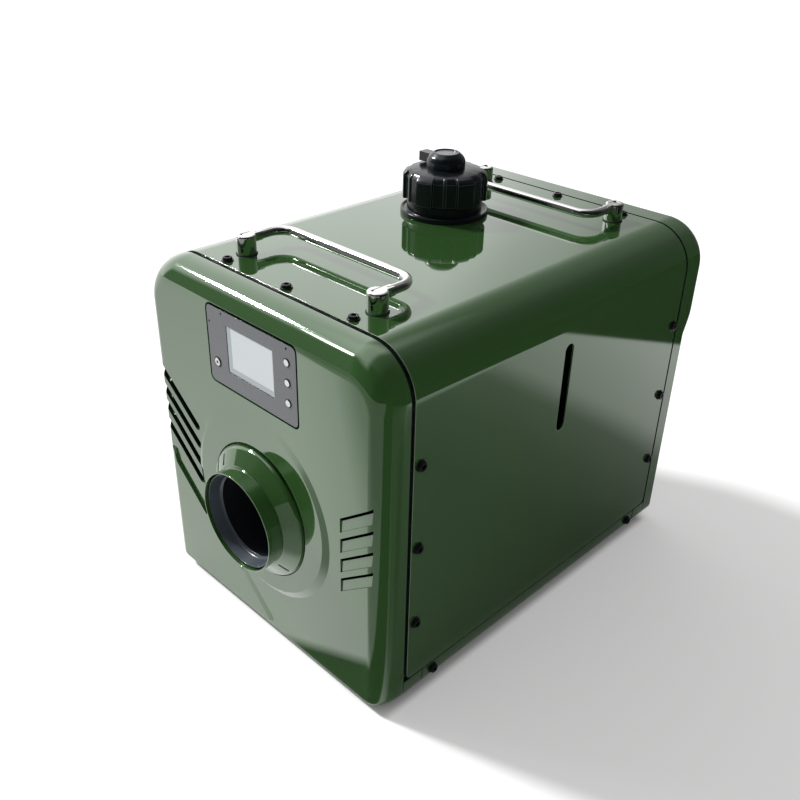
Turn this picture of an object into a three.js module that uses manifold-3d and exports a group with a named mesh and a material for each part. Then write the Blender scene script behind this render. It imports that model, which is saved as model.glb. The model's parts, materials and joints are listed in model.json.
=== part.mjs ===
import * as THREE from 'three';
import { mergeVertices } from 'three/addons/utils/BufferGeometryUtils.js';
import Module from 'manifold-3d';

// Portable air heater, millimetres. While it is built, y is 0 at the front seam and z is 0
// at the lower edge of the covers; the last lines move it to the middle of its footprint.

// case
const caseWidth = 260;
const caseHeight = 286;
const panelDepth = 320;
const topCorner = 35;
const lowCorner = 9;
const frontDepth = 26;
const rearDepth = 28;
const rearLowDepth = 15;
const rearKinkRise = 35;
const rearKinkLift = 73.7;
const sheet = 1.6;
const coverWall = 3.5;
const faceWall = 4;
const frontSeam = 1.2;
const rearSeam = 0.35;
const fitGap = 0.3;
const tongueReach = 17.3;
const tongueWall = 2.6;
const lipHeight = 1.8;
const panelFoot = 18;
const panelFootCorner = 5;

// rounding of the covers
const frontRoundDepth = 22;
const frontRoundSide = 14;
const frontRoundTop = 20;
const frontRoundFoot = 5;
const rearRoundDepth = 9;
const rearRoundSide = 7;
const rearRoundTop = 9;
const rearRoundFoot = 4;

// base tray and feet
const trayPlate = 2;
const footDrop = 4;
const footRadius = 11;
const footInset = 32;
const footBore = 3;
const saddleThick = 3;
const saddleHalf = 45;
const saddleFrontY = 60;
const saddleRearInset = 45;
const uprightInset = 34;
const uprightThick = 2;
const uprightFromY = 90;
const uprightRearInset = 70;
const pathClear = 0.4;

// warm-air outlet
const outletZ = 116.3;
const rimReach = 23;
const rimRadius = 39.6;
const rimBore = 38.6;
const rimLength = 11;
const grooveDepth = 1;
const grooveLength = 0.5;
const coneNeck = 40.6;
const shoulderRadius = 55.5;
const shoulderTurn = 51.2;
const shoulderDrop = 4.4;
const sleeveRadius = 37.4;
const sleeveBore = 36.1;
const sleeveBack = 8;
const linerRadius = 35.9;
const linerBore = 34;
const linerMouth = 36.8;
const linerInset = 1.5;
const linerStep = 15;
const linerStepWall = 3;
const slitLength = 10;
const slitWidth = 2;
const slitDepth = 1.2;
const slitTurns = [131, 316];

// raised round plateau
const plateauRadius = 78;
const plateauTop = 72;
const plateauRise = 1.7;
const plateauZ = 122.5;
const plateauRoot = 3;

// louvres and groove in the front face
const recessDepth = 2.2;
const slotWidth = 6;
const louvreDepth = 3;
const louvreSlit = 2.8;
const louvrePitch = 17.3;
const louvreTall = 11.8;
const louvreFirstInset = 40.7;
const louvreLastInset = 9.5;
const louvreFirstZ = 157.8;
const louvreRise = 23.9;
const grooveFaceDepth = 1;
const grooveFaceWidth = 8;

// display
const bezelHalf = 48.75;
const bezelMidShare = 0.83671;
const bezelTall = 59.6;
const bezelCorner = 4;
const bezelBorder = 1.5;
const bezelPlate = 5.2;
const bezelFlange = 3;
const bezelBack = 8.3;
const bezelFrame = 2;
const windowX = 1;
const windowHalf = 25.8;
const windowLift = 13.4;
const windowTall = 36.1;
const windowStep = 1.4;
const screenLap = 2;
const boardThick = 1.6;
const boardLap = 1;
const keySmall = 2.9;
const keyLarge = 3.7;
const keyColumnInset = 9.15;
const keyLeftInset = 9.05;
const keyProud = 0.6;
const keyTravel = 1;
const keyFlange = 1;
const keyFlangeThick = 1;
const keyRunning = 0.08;

// carrying handles
const postRadius = 7.4;
const postHeight = 15;
const postInset = 60.5;
const postFrontY = 26.3;
const postRearInset = 25.4;
const pinHeight = 11.5;
const pinRadius = 1.5;
const pinHalf = 7;
const pinRunning = 0.05;
const barRadius = 3.6;
const barReach = 35;
const barBend = 14;
const tongueHalf = 2.5;
const tongueSide = 0.2;
const tongueTip = 3.3;
const tongueTipGap = 0.4;
const tongueRoot = 9;
const slotBackWall = 3.9;

// fuel filler and cap
const fillerX = 39;
const fillerRearInset = 113;
const flangeRadius = 36.5;
const flangeHeight = 4;
const flangeRim = 2;
const flangeRimDrop = 1.2;
const collarRadius = 31;
const collarTop = 11.6;
const neckRadius = 27.5;
const neckTop = 31;
const neckBore = 22;
const collarPipe = 25.9;
const collarHole = 26.4;
const capLow = 12;
const capGripTop = 33;
const capTop = 38;
const capRadius = 35;
const capRoot = 32.6;
const capChamfer = 3;
const capBore = 28.2;
const gasketThick = 1.5;
const gasketBore = 21;
const knobRadius = 16;
const knobTop = 47.5;
const knobWaist = 14;
const knobDish = 11;
const knobDishDepth = 1;
const leverReach = 21;
const leverHalf = 3;
const leverTop = 45.5;
const knobStem = 5;
const knobStemDrop = 3;
const knobRunning = 0.08;

// screws
const screwRadius = 1.9;
const screwHole = 2.1;
const screwLength = 5.4;
const headRadius = 4.5;
const headHeight = 2.2;
const headRim = 0.9;
const headDome = 3;
const screwFrontY = 7.4;
const screwRearInset = 7.3;
const screwPitchX = 67.3;
const screwPitchZ = 67;
const screwMidShare = 0.48287;

// sight slot in the right side
const sightY = 162;
const sightWidth = 10;
const sightTall = 73;
const sightDrop = 47;

// fuel tank
const tankSide = 12;
const tankLift = 15.7;
const tankDrop = 16;
const tankCorner = 12;
const tankFromY = 60;
const tankRearInset = 30;
const tankWall = 3;
const legClear = 14;
const tankNeckRadius = 26;
const tankNeckDrop = 5;
const outletPipeZ = 14;
const outletPipeRadius = 3;
const outletPipeBore = 2;
const outletPipeInside = 15;

// pump and hose
const pumpY = 41;
const pumpRadius = 11;
const pumpTop = 62;
const pumpWaist = 8;
const pumpEnd = 10;
const hoseRadius = 3.2;

// heater unit
const unitHalf = 58;
const unitCorner = 20;
const unitWall = 2.5;
const unitFromY = 10;
const unitRearInset = 20;
const unitInlet = 46;
const coreRadius = 36;
const coreBore = 31;
const coreFromY = 60;
const coreRearInset = 100;
const coreEnd = 4;
const finReach = 50;
const finHalf = 1.2;
const ribHalf = 3;
const ribGap = 0.1;
const burnerRadius = 24;
const burnerBore = 21;
const burnerGap = 2;
const burnerFlange = 30.8;
const burnerFlangeThick = 3;
const plugRadius = 4;
const plugHead = 6;
const plugInset = 10;
const plugLow = 12;
const plugFit = 0.1;
const motorRadius = 24;
const motorRearInset = 28;
const motorLength = 47;
const motorStrut = 3;
const shaftRadius = 3;
const shaftRunning = 0.15;
const shaftRearInset = 6;
const shaftLength = 88;
const fanHub = 12;
const fanReach = 43;
const fanRearInset = 8;
const fanDepth = 14;
const fanBlade = 1.2;
const fanSkew = 8;
const blastHub = 10;
const blastReach = 28;
const blastRearInset = 82;
const blastDepth = 10;

// exhaust and combustion air
const pipeX = 20;
const pipeZ = 32;
const pipeBend = 24;
const exhaustRadius = 12;
const intakeRadius = 11;
const pipeWall = 1.2;
const exhaustInset = 30;
const intakeGap = 5;
const exhaustTop = 80;
const intakeTop = 66;
const pipeEnd = 23;

// electrics
const controlInset = 25;
const controlLow = 60;
const controlHigh = 150;
const chipTall = 7;
const socketInset = 45;
const socketZ = 60;
const socketHalfX = 13;
const socketHalfZ = 11;
const socketFlange = 1.5;
const socketBodyHalfX = 9.5;
const socketBodyHalfZ = 7.5;
const socketBody = 14;
const socketWall = 2;
const socketPin = 1.5;
const socketPinLength = 7;
const wireRadius = 3;

// inlet guard in the rear cover
const guardRadius = 48;
const guardSlot = 7;
const guardPitch = 13.5;

const tiny = 0.5;
const weld = 1e-4;
const wide = 2 * caseWidth;
const halfWidth = caseWidth / 2;
const faceY = -frontDepth;
const rearY = panelDepth + rearDepth;
const rearLowY = panelDepth + rearLowDepth;
const outletAxis = new THREE.Vector3(0, 0, outletZ);

// places that follow the case
const rearKinkLow = outletZ + rearKinkLift;
const rearKinkTop = rearKinkLow + rearKinkRise;
const louvreFirstX = halfWidth - louvreFirstInset;
const louvreLastX = halfWidth - louvreLastInset;
const bezelLow = bezelMidShare * caseHeight - bezelTall / 2;
const bezelHigh = bezelLow + bezelTall;
const windowLow = bezelLow + windowLift;
const windowHigh = windowLow + windowTall;
const keyColumnX = bezelHalf - keyColumnInset;
const keyLeftX = bezelHalf - keyLeftInset;
const postX = halfWidth - postInset;
const postRearY = panelDepth - postRearInset;
const fillerY = panelDepth - fillerRearInset;
const screwMidZ = screwMidShare * caseHeight;
const sightHigh = caseHeight - sightDrop;
const sightLow = sightHigh - sightTall;

// places of the inner pieces
const unitFloor = outletZ - unitHalf;
const unitToY = panelDepth - unitRearInset;
const coreToY = unitToY - coreRearInset;
const plugY = coreToY - plugInset;
const motorToY = unitToY - motorRearInset;
const motorFromY = motorToY - motorLength;
const shaftToY = unitToY - shaftRearInset;
const shaftFromY = shaftToY - shaftLength;
const fanToY = unitToY - fanRearInset;
const fanFromY = fanToY - fanDepth;
const blastToY = unitToY - blastRearInset;
const blastFromY = blastToY - blastDepth;
const exhaustY = coreFromY + exhaustInset;
const intakeY = coreToY + intakeGap;
const tankHalf = halfWidth - tankSide;
const tankLow = outletZ + unitHalf + tankLift;
const tankHigh = caseHeight - tankDrop;
const tankNeckTop = caseHeight - tankNeckDrop;
const tankToY = panelDepth - tankRearInset;
const legInner = unitHalf + legClear;
const legPipeX = (legInner + tankHalf) / 2;
const saddleRearY = unitToY - saddleRearInset;
const uprightX = halfWidth - uprightInset;
const socketX = halfWidth - socketInset;
const uprightToY = panelDepth - uprightRearInset;
const controlFromY = uprightFromY + controlInset;
const controlToY = uprightToY - controlInset;

const wasm = await Module();
wasm.setup();

// closed bodies from three.js geometry
function solid(geometry) {
  const bare = geometry.index ? geometry.toNonIndexed() : geometry.clone();
  bare.deleteAttribute('normal');
  bare.deleteAttribute('uv');
  const merged = mergeVertices(bare, weld);
  const place = merged.attributes.position;
  const triangles = [];
  let volume = 0;
  const corner = [new THREE.Vector3(), new THREE.Vector3(), new THREE.Vector3()];
  for (let i = 0; i < merged.index.count; i += 3) {
    const ids = [0, 1, 2].map((k) => merged.index.getX(i + k));
    if (ids[0] === ids[1] || ids[1] === ids[2] || ids[2] === ids[0]) continue;
    triangles.push(ids);
    ids.forEach((id, k) => corner[k].fromBufferAttribute(place, id));
    volume += corner[0].dot(corner[1].clone().cross(corner[2]));
  }
  if (volume < 0) triangles.forEach((ids) => ids.reverse());
  return new wasm.Manifold(new wasm.Mesh({
    numProp: 3,
    vertProperties: new Float32Array(place.array),
    triVerts: new Uint32Array(triangles.flat()),
  }));
}

// a skin over rings of equal point count, closed at both ends
function skin(rings) {
  const count = rings[0].length;
  const points = [];
  const face = (a, b, c) => points.push(...a, ...b, ...c);
  for (let r = 0; r + 1 < rings.length; r += 1) {
    for (let i = 0; i < count; i += 1) {
      const j = (i + 1) % count;
      face(rings[r][i], rings[r][j], rings[r + 1][j]);
      face(rings[r][i], rings[r + 1][j], rings[r + 1][i]);
    }
  }
  const last = rings[rings.length - 1];
  for (let i = 1; i + 1 < count; i += 1) {
    face(rings[0][0], rings[0][i + 1], rings[0][i]);
    face(last[0], last[i], last[i + 1]);
  }
  const geometry = new THREE.BufferGeometry();
  geometry.setAttribute('position', new THREE.Float32BufferAttribute(points, 3));
  return solid(geometry);
}

function prism(shape, depth, segments) {
  return new THREE.ExtrudeGeometry(shape, { depth, bevelEnabled: false, curveSegments: segments });
}

function alongZ(shape, low, high, segments = 6) {
  return solid(prism(shape, high - low, segments).translate(0, 0, low));
}

function alongY(shape, low, high, segments = 4) {
  return solid(prism(shape, high - low, segments).rotateX(Math.PI / 2).translate(0, high, 0));
}

function alongX(shape, low, high, segments = 6) {
  const turn = new THREE.Matrix4().makeBasis(
    new THREE.Vector3(0, 1, 0), new THREE.Vector3(0, 0, 1), new THREE.Vector3(1, 0, 0));
  return solid(prism(shape, high - low, segments).applyMatrix4(turn).translate(low, 0, 0));
}

// a box from its low and high corner
function box(low, high) {
  const size = high.map((value, i) => value - low[i]);
  const centre = high.map((value, i) => (value + low[i]) / 2);
  return solid(new THREE.BoxGeometry(...size).translate(...centre));
}

// a turned body; profile pairs are radius and height along the axis
function turned(profile, axis, place, segments = 24) {
  const points = profile.map(([radius, height]) => new THREE.Vector2(radius, height));
  const geometry = new THREE.LatheGeometry(points, segments);
  if (axis === 'z') geometry.rotateX(Math.PI / 2);
  if (axis === 'x') geometry.rotateZ(-Math.PI / 2);
  return solid(geometry.translate(place.x, place.y, place.z));
}

function rod(radius, low, high, axis, place, segments = 20) {
  return turned([[0, low], [radius, low], [radius, high], [0, high]], axis, place, segments);
}

function at(x, y, z) {
  return new THREE.Vector3(x, y, z);
}

function polygon(points) {
  return new THREE.Shape(points.map(([u, v]) => new THREE.Vector2(u, v)));
}

function roundedRect(low, high, radius) {
  const shape = new THREE.Shape();
  shape.absarc(high[0] - radius, low[1] + radius, radius, -Math.PI / 2, 0);
  shape.absarc(high[0] - radius, high[1] - radius, radius, 0, Math.PI / 2);
  shape.absarc(low[0] + radius, high[1] - radius, radius, Math.PI / 2, Math.PI);
  shape.absarc(low[0] + radius, low[1] + radius, radius, Math.PI, Math.PI * 1.5);
  return shape;
}

// a bar with round ends between two points of a plane
function stadium(from, to, width) {
  const angle = Math.atan2(to[1] - from[1], to[0] - from[0]);
  const shape = new THREE.Shape();
  shape.absarc(to[0], to[1], width / 2, angle - Math.PI / 2, angle + Math.PI / 2);
  shape.absarc(from[0], from[1], width / 2, angle + Math.PI / 2, angle + Math.PI * 1.5);
  return shape;
}

// one round of the case outline at depth y, moved in from the sides, top and foot
function caseRing(y, side, top, foot, steps = 6) {
  const half = halfWidth - side;
  const high = caseHeight - top;
  const large = topCorner - (side + top) / 2;
  const small = Math.max(lowCorner - (side + foot) / 2, lowCorner / 3);
  const ring = [];
  const arc = (x, z, radius, start, count) => {
    for (let i = 0; i <= count; i += 1) {
      const angle = start + (i / count) * Math.PI / 2;
      ring.push([x + radius * Math.cos(angle), y, z + radius * Math.sin(angle)]);
    }
  };
  arc(half - small, foot + small, small, -Math.PI / 2, 2);
  arc(half - large, high - large, large, 0, steps);
  arc(large - half, high - large, large, Math.PI / 2, steps);
  arc(small - half, foot + small, small, Math.PI, 2);
  return ring;
}

// a tube or rod along points, with rings kept square to the path
function swept(points, radius, sides = 12) {
  const tangents = points.map((point, i) => {
    const before = points[Math.max(i - 1, 0)];
    const after = points[Math.min(i + 1, points.length - 1)];
    return after.clone().sub(before).normalize();
  });
  let across = new THREE.Vector3(1, 0, 0).cross(tangents[0]);
  if (across.length() < weld) across = new THREE.Vector3(0, 0, 1).cross(tangents[0]);
  const rings = points.map((point, i) => {
    across = across.clone().addScaledVector(tangents[i], -across.dot(tangents[i])).normalize();
    const third = tangents[i].clone().cross(across);
    return Array.from({ length: sides }, (_, k) => {
      const angle = (k / sides) * Math.PI * 2;
      return point.clone().addScaledVector(across, radius * Math.cos(angle))
        .addScaledVector(third, radius * Math.sin(angle)).toArray();
    });
  });
  return skin(rings);
}

// points of a path whose inner corners are rounded
function roundedPath(corners, bend, steps = 5) {
  const path = [corners[0]];
  for (let i = 1; i + 1 < corners.length; i += 1) {
    const back = corners[i - 1].clone().sub(corners[i]).normalize();
    const ahead = corners[i + 1].clone().sub(corners[i]).normalize();
    const half = back.angleTo(ahead) / 2;
    const start = corners[i].clone().addScaledVector(back, bend / Math.tan(half));
    const end = corners[i].clone().addScaledVector(ahead, bend / Math.tan(half));
    const centre = corners[i].clone()
      .addScaledVector(back.clone().add(ahead).normalize(), bend / Math.sin(half));
    const from = start.clone().sub(centre);
    const to = end.clone().sub(centre);
    const spread = from.angleTo(to);
    for (let k = 0; k <= steps; k += 1) {
      const share = k / steps;
      const a = Math.sin((1 - share) * spread) / Math.sin(spread);
      const b = Math.sin(share * spread) / Math.sin(spread);
      path.push(centre.clone().addScaledVector(from, a).addScaledVector(to, b));
    }
  }
  path.push(corners[corners.length - 1]);
  return path;
}

const paint = { color: 0x1f3d1a, roughness: 0.25, metalness: 0.1 };
const steel = { color: 0xb9bcc0, roughness: 0.2, metalness: 1 };
const black = { color: 0x15161a, roughness: 0.45, metalness: 0 };
const grey = { color: 0x54585c, roughness: 0.5, metalness: 0 };
const glass = { color: 0xb6bcbc, roughness: 0.15, metalness: 0 };
const rubber = { color: 0x101010, roughness: 0.9, metalness: 0 };
const alloy = { color: 0x9a9c9e, roughness: 0.5, metalness: 0.9 };
const zinc = { color: 0x8b8f93, roughness: 0.4, metalness: 0.8 };
const board = { color: 0x1e5a36, roughness: 0.5, metalness: 0 };
const tankSkin = { color: 0x23262b, roughness: 0.55, metalness: 0 };
const white = { color: 0xe4e6e6, roughness: 0.4, metalness: 0 };

const group = new THREE.Group();
group.name = 'portable_air_heater';

function piece(name, body, look) {
  const mesh = body.getMesh();
  const geometry = new THREE.BufferGeometry();
  geometry.setAttribute('position', new THREE.BufferAttribute(mesh.vertProperties, mesh.numProp));
  geometry.setIndex(new THREE.BufferAttribute(mesh.triVerts, 1));
  geometry.computeVertexNormals();
  const node = new THREE.Mesh(geometry, new THREE.MeshStandardMaterial(look));
  node.name = name;
  group.add(node);
}

// screw places along both seams: three on top, three on the right side
const screwPlaces = [];
[screwFrontY, panelDepth - screwRearInset].forEach((y, end) => {
  [-1, 0, 1].forEach((step, i) => {
    const seam = end === 0 ? 'front' : 'rear';
    screwPlaces.push({ name: `screw_top_${seam}_${i + 1}`, axis: 'z',
      place: at(step * screwPitchX, y, caseHeight) });
    screwPlaces.push({ name: `screw_side_${seam}_${i + 1}`, axis: 'x',
      place: at(halfWidth, y, screwMidZ + step * screwPitchZ) });
  });
});

function screwHoles(radius) {
  const holes = screwPlaces.map(({ axis, place }) =>
    rod(radius, -screwLength * 2, screwLength, axis, place, 8));
  return wasm.Manifold.union(holes);
}

// covers: a hollow rounded hull, a tongue under the shell, flush tabs and a lip at the foot
function coverHull(seamY, endY, round, wall, endWall) {
  const way = Math.sign(endY - seamY);
  const side = Math.max(wall, 0);
  const end = endY - way * endWall;
  const depth = round.depth - endWall;
  const steps = 5;
  const rings = [caseRing(seamY, side, side, side)];
  for (let i = 0; i <= steps; i += 1) {
    const angle = (i / steps) * Math.PI / 2;
    const share = 1 - Math.cos(angle);
    const y = end - way * depth * (1 - Math.sin(angle));
    rings.push(caseRing(y, side + share * (round.side - wall),
      side + share * (round.top - wall), side + share * (round.foot - wall / 2)));
  }
  return skin(rings);
}

function coverTongue(seamY, reachY) {
  const low = Math.min(seamY, reachY);
  const high = Math.max(seamY, reachY);
  const under = sheet + fitGap;
  const outer = skin([caseRing(low, under, under, 0), caseRing(high, under, under, 0)]);
  const tabs = skin([caseRing(low, 0, 0, 0), caseRing(high, 0, 0, 0)])
    .intersect(box([-wide, low, 0], [wide, high, panelFoot - fitGap]));
  const inner = under + tongueWall;
  const hollow = skin([caseRing(low - tiny, inner, inner, lipHeight),
    caseRing(high + tiny, inner, inner, lipHeight)]);
  return outer.add(tabs).subtract(hollow);
}

// front cover
const frontRound = { depth: frontRoundDepth, side: frontRoundSide, top: frontRoundTop,
  foot: frontRoundFoot };
const frontHull = coverHull(-frontSeam, faceY, frontRound, 0, 0);
const frontHollow = coverHull(-frontSeam + tiny, faceY, frontRound, coverWall, faceWall);

const plateauTilt = Math.asin(plateauRise / plateauRadius);
function plateau() {
  const body = solid(new THREE.LatheGeometry([[0, plateauRoot], [plateauRadius, plateauRoot],
    [plateauRadius, plateauRise], [plateauTop, -plateauRise], [0, -plateauRise]]
    .map(([radius, height]) => new THREE.Vector2(radius, height)), 40)
    .rotateX(-plateauTilt)
    .translate(0, faceY, plateauZ));
  return body;
}

// outline of the left recess and its slots, as shares of half the width and of the height
const recessShares = [[-1.02, 0.730], [-0.908, 0.6853], [-0.566, 0.584], [-0.525, 0.566],
  [-0.5, 0.535], [-0.477, 0.458], [-0.47, 0.38], [-0.51, 0.3], [-0.604, 0.248],
  [-0.869, 0.367], [-0.888, 0.404], [-1.02, 0.404]];
const slotShares = [[-0.892, 0.6668, -0.612, 0.522], [-0.889, 0.5948, -0.608, 0.4594],
  [-0.892, 0.5252, -0.612, 0.4059], [-0.889, 0.4538, -0.612, 0.3483]];
const grooveShares = [-0.215, 0.14, 0.023, 0.042];

function onFace([x, z]) {
  return [x * halfWidth, z * caseHeight];
}

function leftLouvres() {
  const recess = alongY(polygon(recessShares.map(onFace)), faceY - tiny, faceY + recessDepth);
  const slots = slotShares.map(([x1, z1, x2, z2]) =>
    alongY(stadium(onFace([x1, z1]), onFace([x2, z2]), slotWidth),
      faceY - tiny, faceY + faceWall + tiny, 4));
  const [gx, gz, hx, hz] = grooveShares;
  const groove = alongY(stadium(onFace([gx, gz]), onFace([hx, hz]), grooveFaceWidth),
    faceY - tiny, faceY + grooveFaceDepth, 4);
  return wasm.Manifold.union([recess, groove, ...slots]);
}

function rightLouvres() {
  const cuts = [0, 1, 2, 3].flatMap((row) => {
    const z = louvreFirstZ - row * louvrePitch;
    const back = faceY + louvreDepth;
    const ends = [[louvreFirstX, z], [louvreLastX, z + louvreRise]];
    const wedge = skin(ends.map(([x, top]) => [[x, faceY - tiny, top], [x, back, top],
      [x, faceY, top - louvreTall], [x, faceY - tiny, top - louvreTall]]));
    const slit = skin(ends.map(([x, top]) => [[x, faceY, top], [x, faceY + frontDepth / 2, top],
      [x, faceY + frontDepth / 2, top - louvreSlit], [x, faceY, top - louvreSlit]]));
    return [wedge, slit];
  });
  return wasm.Manifold.union(cuts);
}

const bezelHole = [[-bezelHalf - bezelBorder, bezelLow - bezelBorder],
  [bezelHalf + bezelBorder, bezelHigh + bezelBorder]];
const bezelRear = [[-bezelHalf - bezelFlange - fitGap, bezelLow - bezelFlange - fitGap],
  [bezelHalf + bezelFlange + fitGap, bezelHigh + bezelFlange + fitGap]];
const nozzleSeat = shoulderRadius + fitGap;
const frontCover = frontHull.add(plateau())
  .subtract(frontHollow)
  .add(coverTongue(-frontSeam, tongueReach))
  .subtract(rod(nozzleSeat, -rimReach, 0, 'y', at(0, faceY, outletZ), 36))
  .subtract(rod(sleeveRadius + fitGap, -tiny, faceWall + tiny, 'y', at(0, faceY, outletZ), 36))
  .subtract(alongY(roundedRect(...bezelHole, bezelCorner), faceY - tiny, faceY + faceWall + tiny))
  .subtract(alongY(roundedRect(...bezelRear, bezelCorner), faceY + faceWall, -frontSeam))
  .subtract(leftLouvres())
  .subtract(rightLouvres())
  .subtract(screwHoles(screwRadius + fitGap / 2));
piece('front_cover', frontCover, paint);

// main shell: one sheet over top and sides
const shellFrontY = frontSeam;
const shellRearY = panelDepth - rearSeam;
const shellOuter = skin([caseRing(shellFrontY, 0, 0, 0), caseRing(shellRearY, 0, 0, 0)]);
const shellInner = skin([caseRing(-tiny, sheet, sheet, -wide),
  caseRing(panelDepth + tiny, sheet, sheet, -wide)]);
const shellSide = alongX(roundedRect([shellFrontY, panelFoot], [shellRearY, wide],
  panelFootCorner), -wide, wide, 4);
const sightHole = alongX(stadium([sightY, sightLow + sightWidth / 2],
  [sightY, sightHigh - sightWidth / 2], sightWidth), halfWidth - topCorner / 2, wide, 8);
const fillerAxis = at(-fillerX, fillerY, caseHeight);
piece('main_shell', shellOuter.intersect(shellSide)
  .subtract(shellInner)
  .subtract(sightHole)
  .subtract(rod(collarHole, -topCorner, topCorner, 'z', fillerAxis, 36))
  .subtract(screwHoles(screwHole)), paint);

// rear cover: thick at the top, sloping to a thinner foot
const rearRound = { depth: rearRoundDepth, side: rearRoundSide, top: rearRoundTop,
  foot: rearRoundFoot };
function rearProfile(inset) {
  return alongX(polygon([[panelDepth - wide, -wide], [rearLowY - inset, -wide],
    [rearLowY - inset, rearKinkLow], [rearY - inset, rearKinkTop], [rearY - inset, wide],
    [panelDepth - wide, wide]]), -wide, wide);
}

function guardSlots() {
  const rows = [-3, -2, -1, 0, 1, 2, 3].map((row) => {
    const z = row * guardPitch;
    const half = Math.sqrt(guardRadius ** 2 - z ** 2) - guardSlot / 2;
    return alongY(stadium([-half, outletZ + z], [half, outletZ + z], guardSlot),
      rearLowY - coverWall - tiny, rearLowY + tiny, 3);
  });
  return wasm.Manifold.union(rows);
}

const pipeHoles = wasm.Manifold.union([
  rod(exhaustRadius + pathClear, 0, wide, 'y', at(-pipeX, intakeY, pipeZ)),
  rod(intakeRadius + pathClear, 0, wide, 'y', at(pipeX, intakeY, pipeZ))]);
const socketHole = box(
  [-socketX - socketBodyHalfX - fitGap, rearLowY - socketBody, socketZ - socketBodyHalfZ - fitGap],
  [-socketX + socketBodyHalfX + fitGap, rearY, socketZ + socketBodyHalfZ + fitGap]);
const rearCover = coverHull(panelDepth + rearSeam, rearY, rearRound, 0, 0)
  .intersect(rearProfile(0))
  .subtract(coverHull(panelDepth + rearSeam - tiny, rearY, rearRound, coverWall, coverWall)
    .intersect(rearProfile(coverWall)))
  .add(coverTongue(panelDepth + rearSeam, panelDepth - tongueReach + frontSeam))
  .subtract(guardSlots())
  .subtract(pipeHoles)
  .subtract(socketHole)
  .subtract(screwHoles(screwRadius + fitGap / 2));
piece('rear_cover', rearCover, paint);

// base tray with flanges, saddles under the heater and one upright
const trayFrontY = tongueReach + fitGap;
const trayRearY = panelDepth - tongueReach + frontSeam - fitGap;
const trayOuter = skin([caseRing(trayFrontY, 0, 0, 0), caseRing(trayRearY, 0, 0, 0)])
  .intersect(box([-wide, -wide, 0], [wide, wide, panelFoot - fitGap]));
const trayInner = skin([caseRing(-wide, sheet, sheet, trayPlate),
  caseRing(wide, sheet, sheet, trayPlate)]);
const joggle = halfWidth - sheet - fitGap - tongueWall - lowCorner;
const joggleLow = lipHeight + fitGap;
const tray = trayOuter.subtract(trayInner)
  .add(box([-joggle, tongueReach / 3, joggleLow],
    [joggle, trayFrontY + tongueReach / 2, joggleLow + trayPlate]))
  .add(box([-joggle, trayRearY - tongueReach / 2, joggleLow],
    [joggle, panelDepth - tongueReach / 3, joggleLow + trayPlate]))
  .add(box([-joggle, trayFrontY, trayPlate / 2],
    [joggle, trayFrontY + tongueReach / 2, joggleLow + trayPlate]))
  .add(box([-joggle, trayRearY - tongueReach / 2, trayPlate / 2],
    [joggle, trayRearY, joggleLow + trayPlate]))
  .add(box([-saddleHalf, saddleFrontY, trayPlate / 2],
    [saddleHalf, saddleFrontY + saddleThick, unitFloor]))
  .add(box([-saddleHalf, saddleRearY, trayPlate / 2],
    [saddleHalf, saddleRearY + saddleThick, unitFloor]))
  .add(box([-uprightX, uprightFromY, trayPlate / 2],
    [-uprightX + uprightThick, uprightToY, tankLow]))
  .subtract(pipeHoles);
piece('base_tray', tray, paint);

// rubber feet
[['foot_front_left', -1, 0], ['foot_front_right', 1, 0], ['foot_rear_left', -1, 1],
  ['foot_rear_right', 1, 1]].forEach(([name, side, end]) => {
  const y = end ? trayRearY - footInset : trayFrontY + footInset;
  const place = at(side * (halfWidth - footInset), y, 0);
  piece(name, turned([[0, -footDrop / 2], [footBore, -footDrop / 2], [footBore, -footDrop],
    [footRadius - footBore / 2, -footDrop], [footRadius, -footDrop + footBore / 2],
    [footRadius, 0], [0, 0]], 'z', place, 14), rubber);
});

// outlet nozzle
const rimY = faceY - rimReach;
const ringBackY = rimY + rimLength;
const grooveBackY = ringBackY + grooveLength;
const coneFootY = grooveBackY + grooveLength;
const nozzleStepY = faceY - shoulderDrop;
const nozzleBody = turned([[sleeveBore, faceY + sleeveBack], [sleeveRadius, faceY + sleeveBack],
  [sleeveRadius, faceY], [shoulderRadius, faceY],
  [shoulderTurn, faceY - shoulderDrop], [coneNeck, coneFootY],
  [rimRadius - grooveDepth / 2, grooveBackY],
  [rimRadius - grooveDepth / 2, ringBackY], [rimRadius, ringBackY], [rimRadius, rimY],
  [rimBore, rimY], [rimBore, nozzleStepY], [sleeveBore, nozzleStepY],
  [sleeveBore, faceY + sleeveBack]], 'y', outletAxis, 36);
const coneDepth = faceY - shoulderDrop - coneFootY;
const coneSlope = Math.atan2(coneDepth, shoulderTurn - coneNeck);
const slits = slitTurns.map((turn) => solid(new THREE.BoxGeometry(slitWidth, slitDepth, slitLength)
  .rotateX(-coneSlope)
  .translate(0, coneFootY + coneDepth / 2, (shoulderTurn + coneNeck) / 2)
  .rotateY(THREE.MathUtils.degToRad(turn))
  .translate(0, 0, outletZ)));
piece('outlet_nozzle', nozzleBody.subtract(wasm.Manifold.union(slits)), paint);

// duct liner from the rim back into the heater unit
const linerFrontY = rimY + linerInset;
const linerStepY = linerFrontY + linerStep - linerStepWall;
piece('outlet_liner', turned([[linerMouth, linerFrontY], [rimBore - fitGap, linerFrontY],
  [rimBore - fitGap, nozzleStepY - fitGap], [linerRadius, nozzleStepY - fitGap],
  [linerRadius, unitFromY + unitWall], [linerBore, unitFromY + unitWall],
  [linerBore, linerStepY], [linerMouth, linerStepY], [linerMouth, linerFrontY]],
'y', outletAxis, 30), black);

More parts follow.
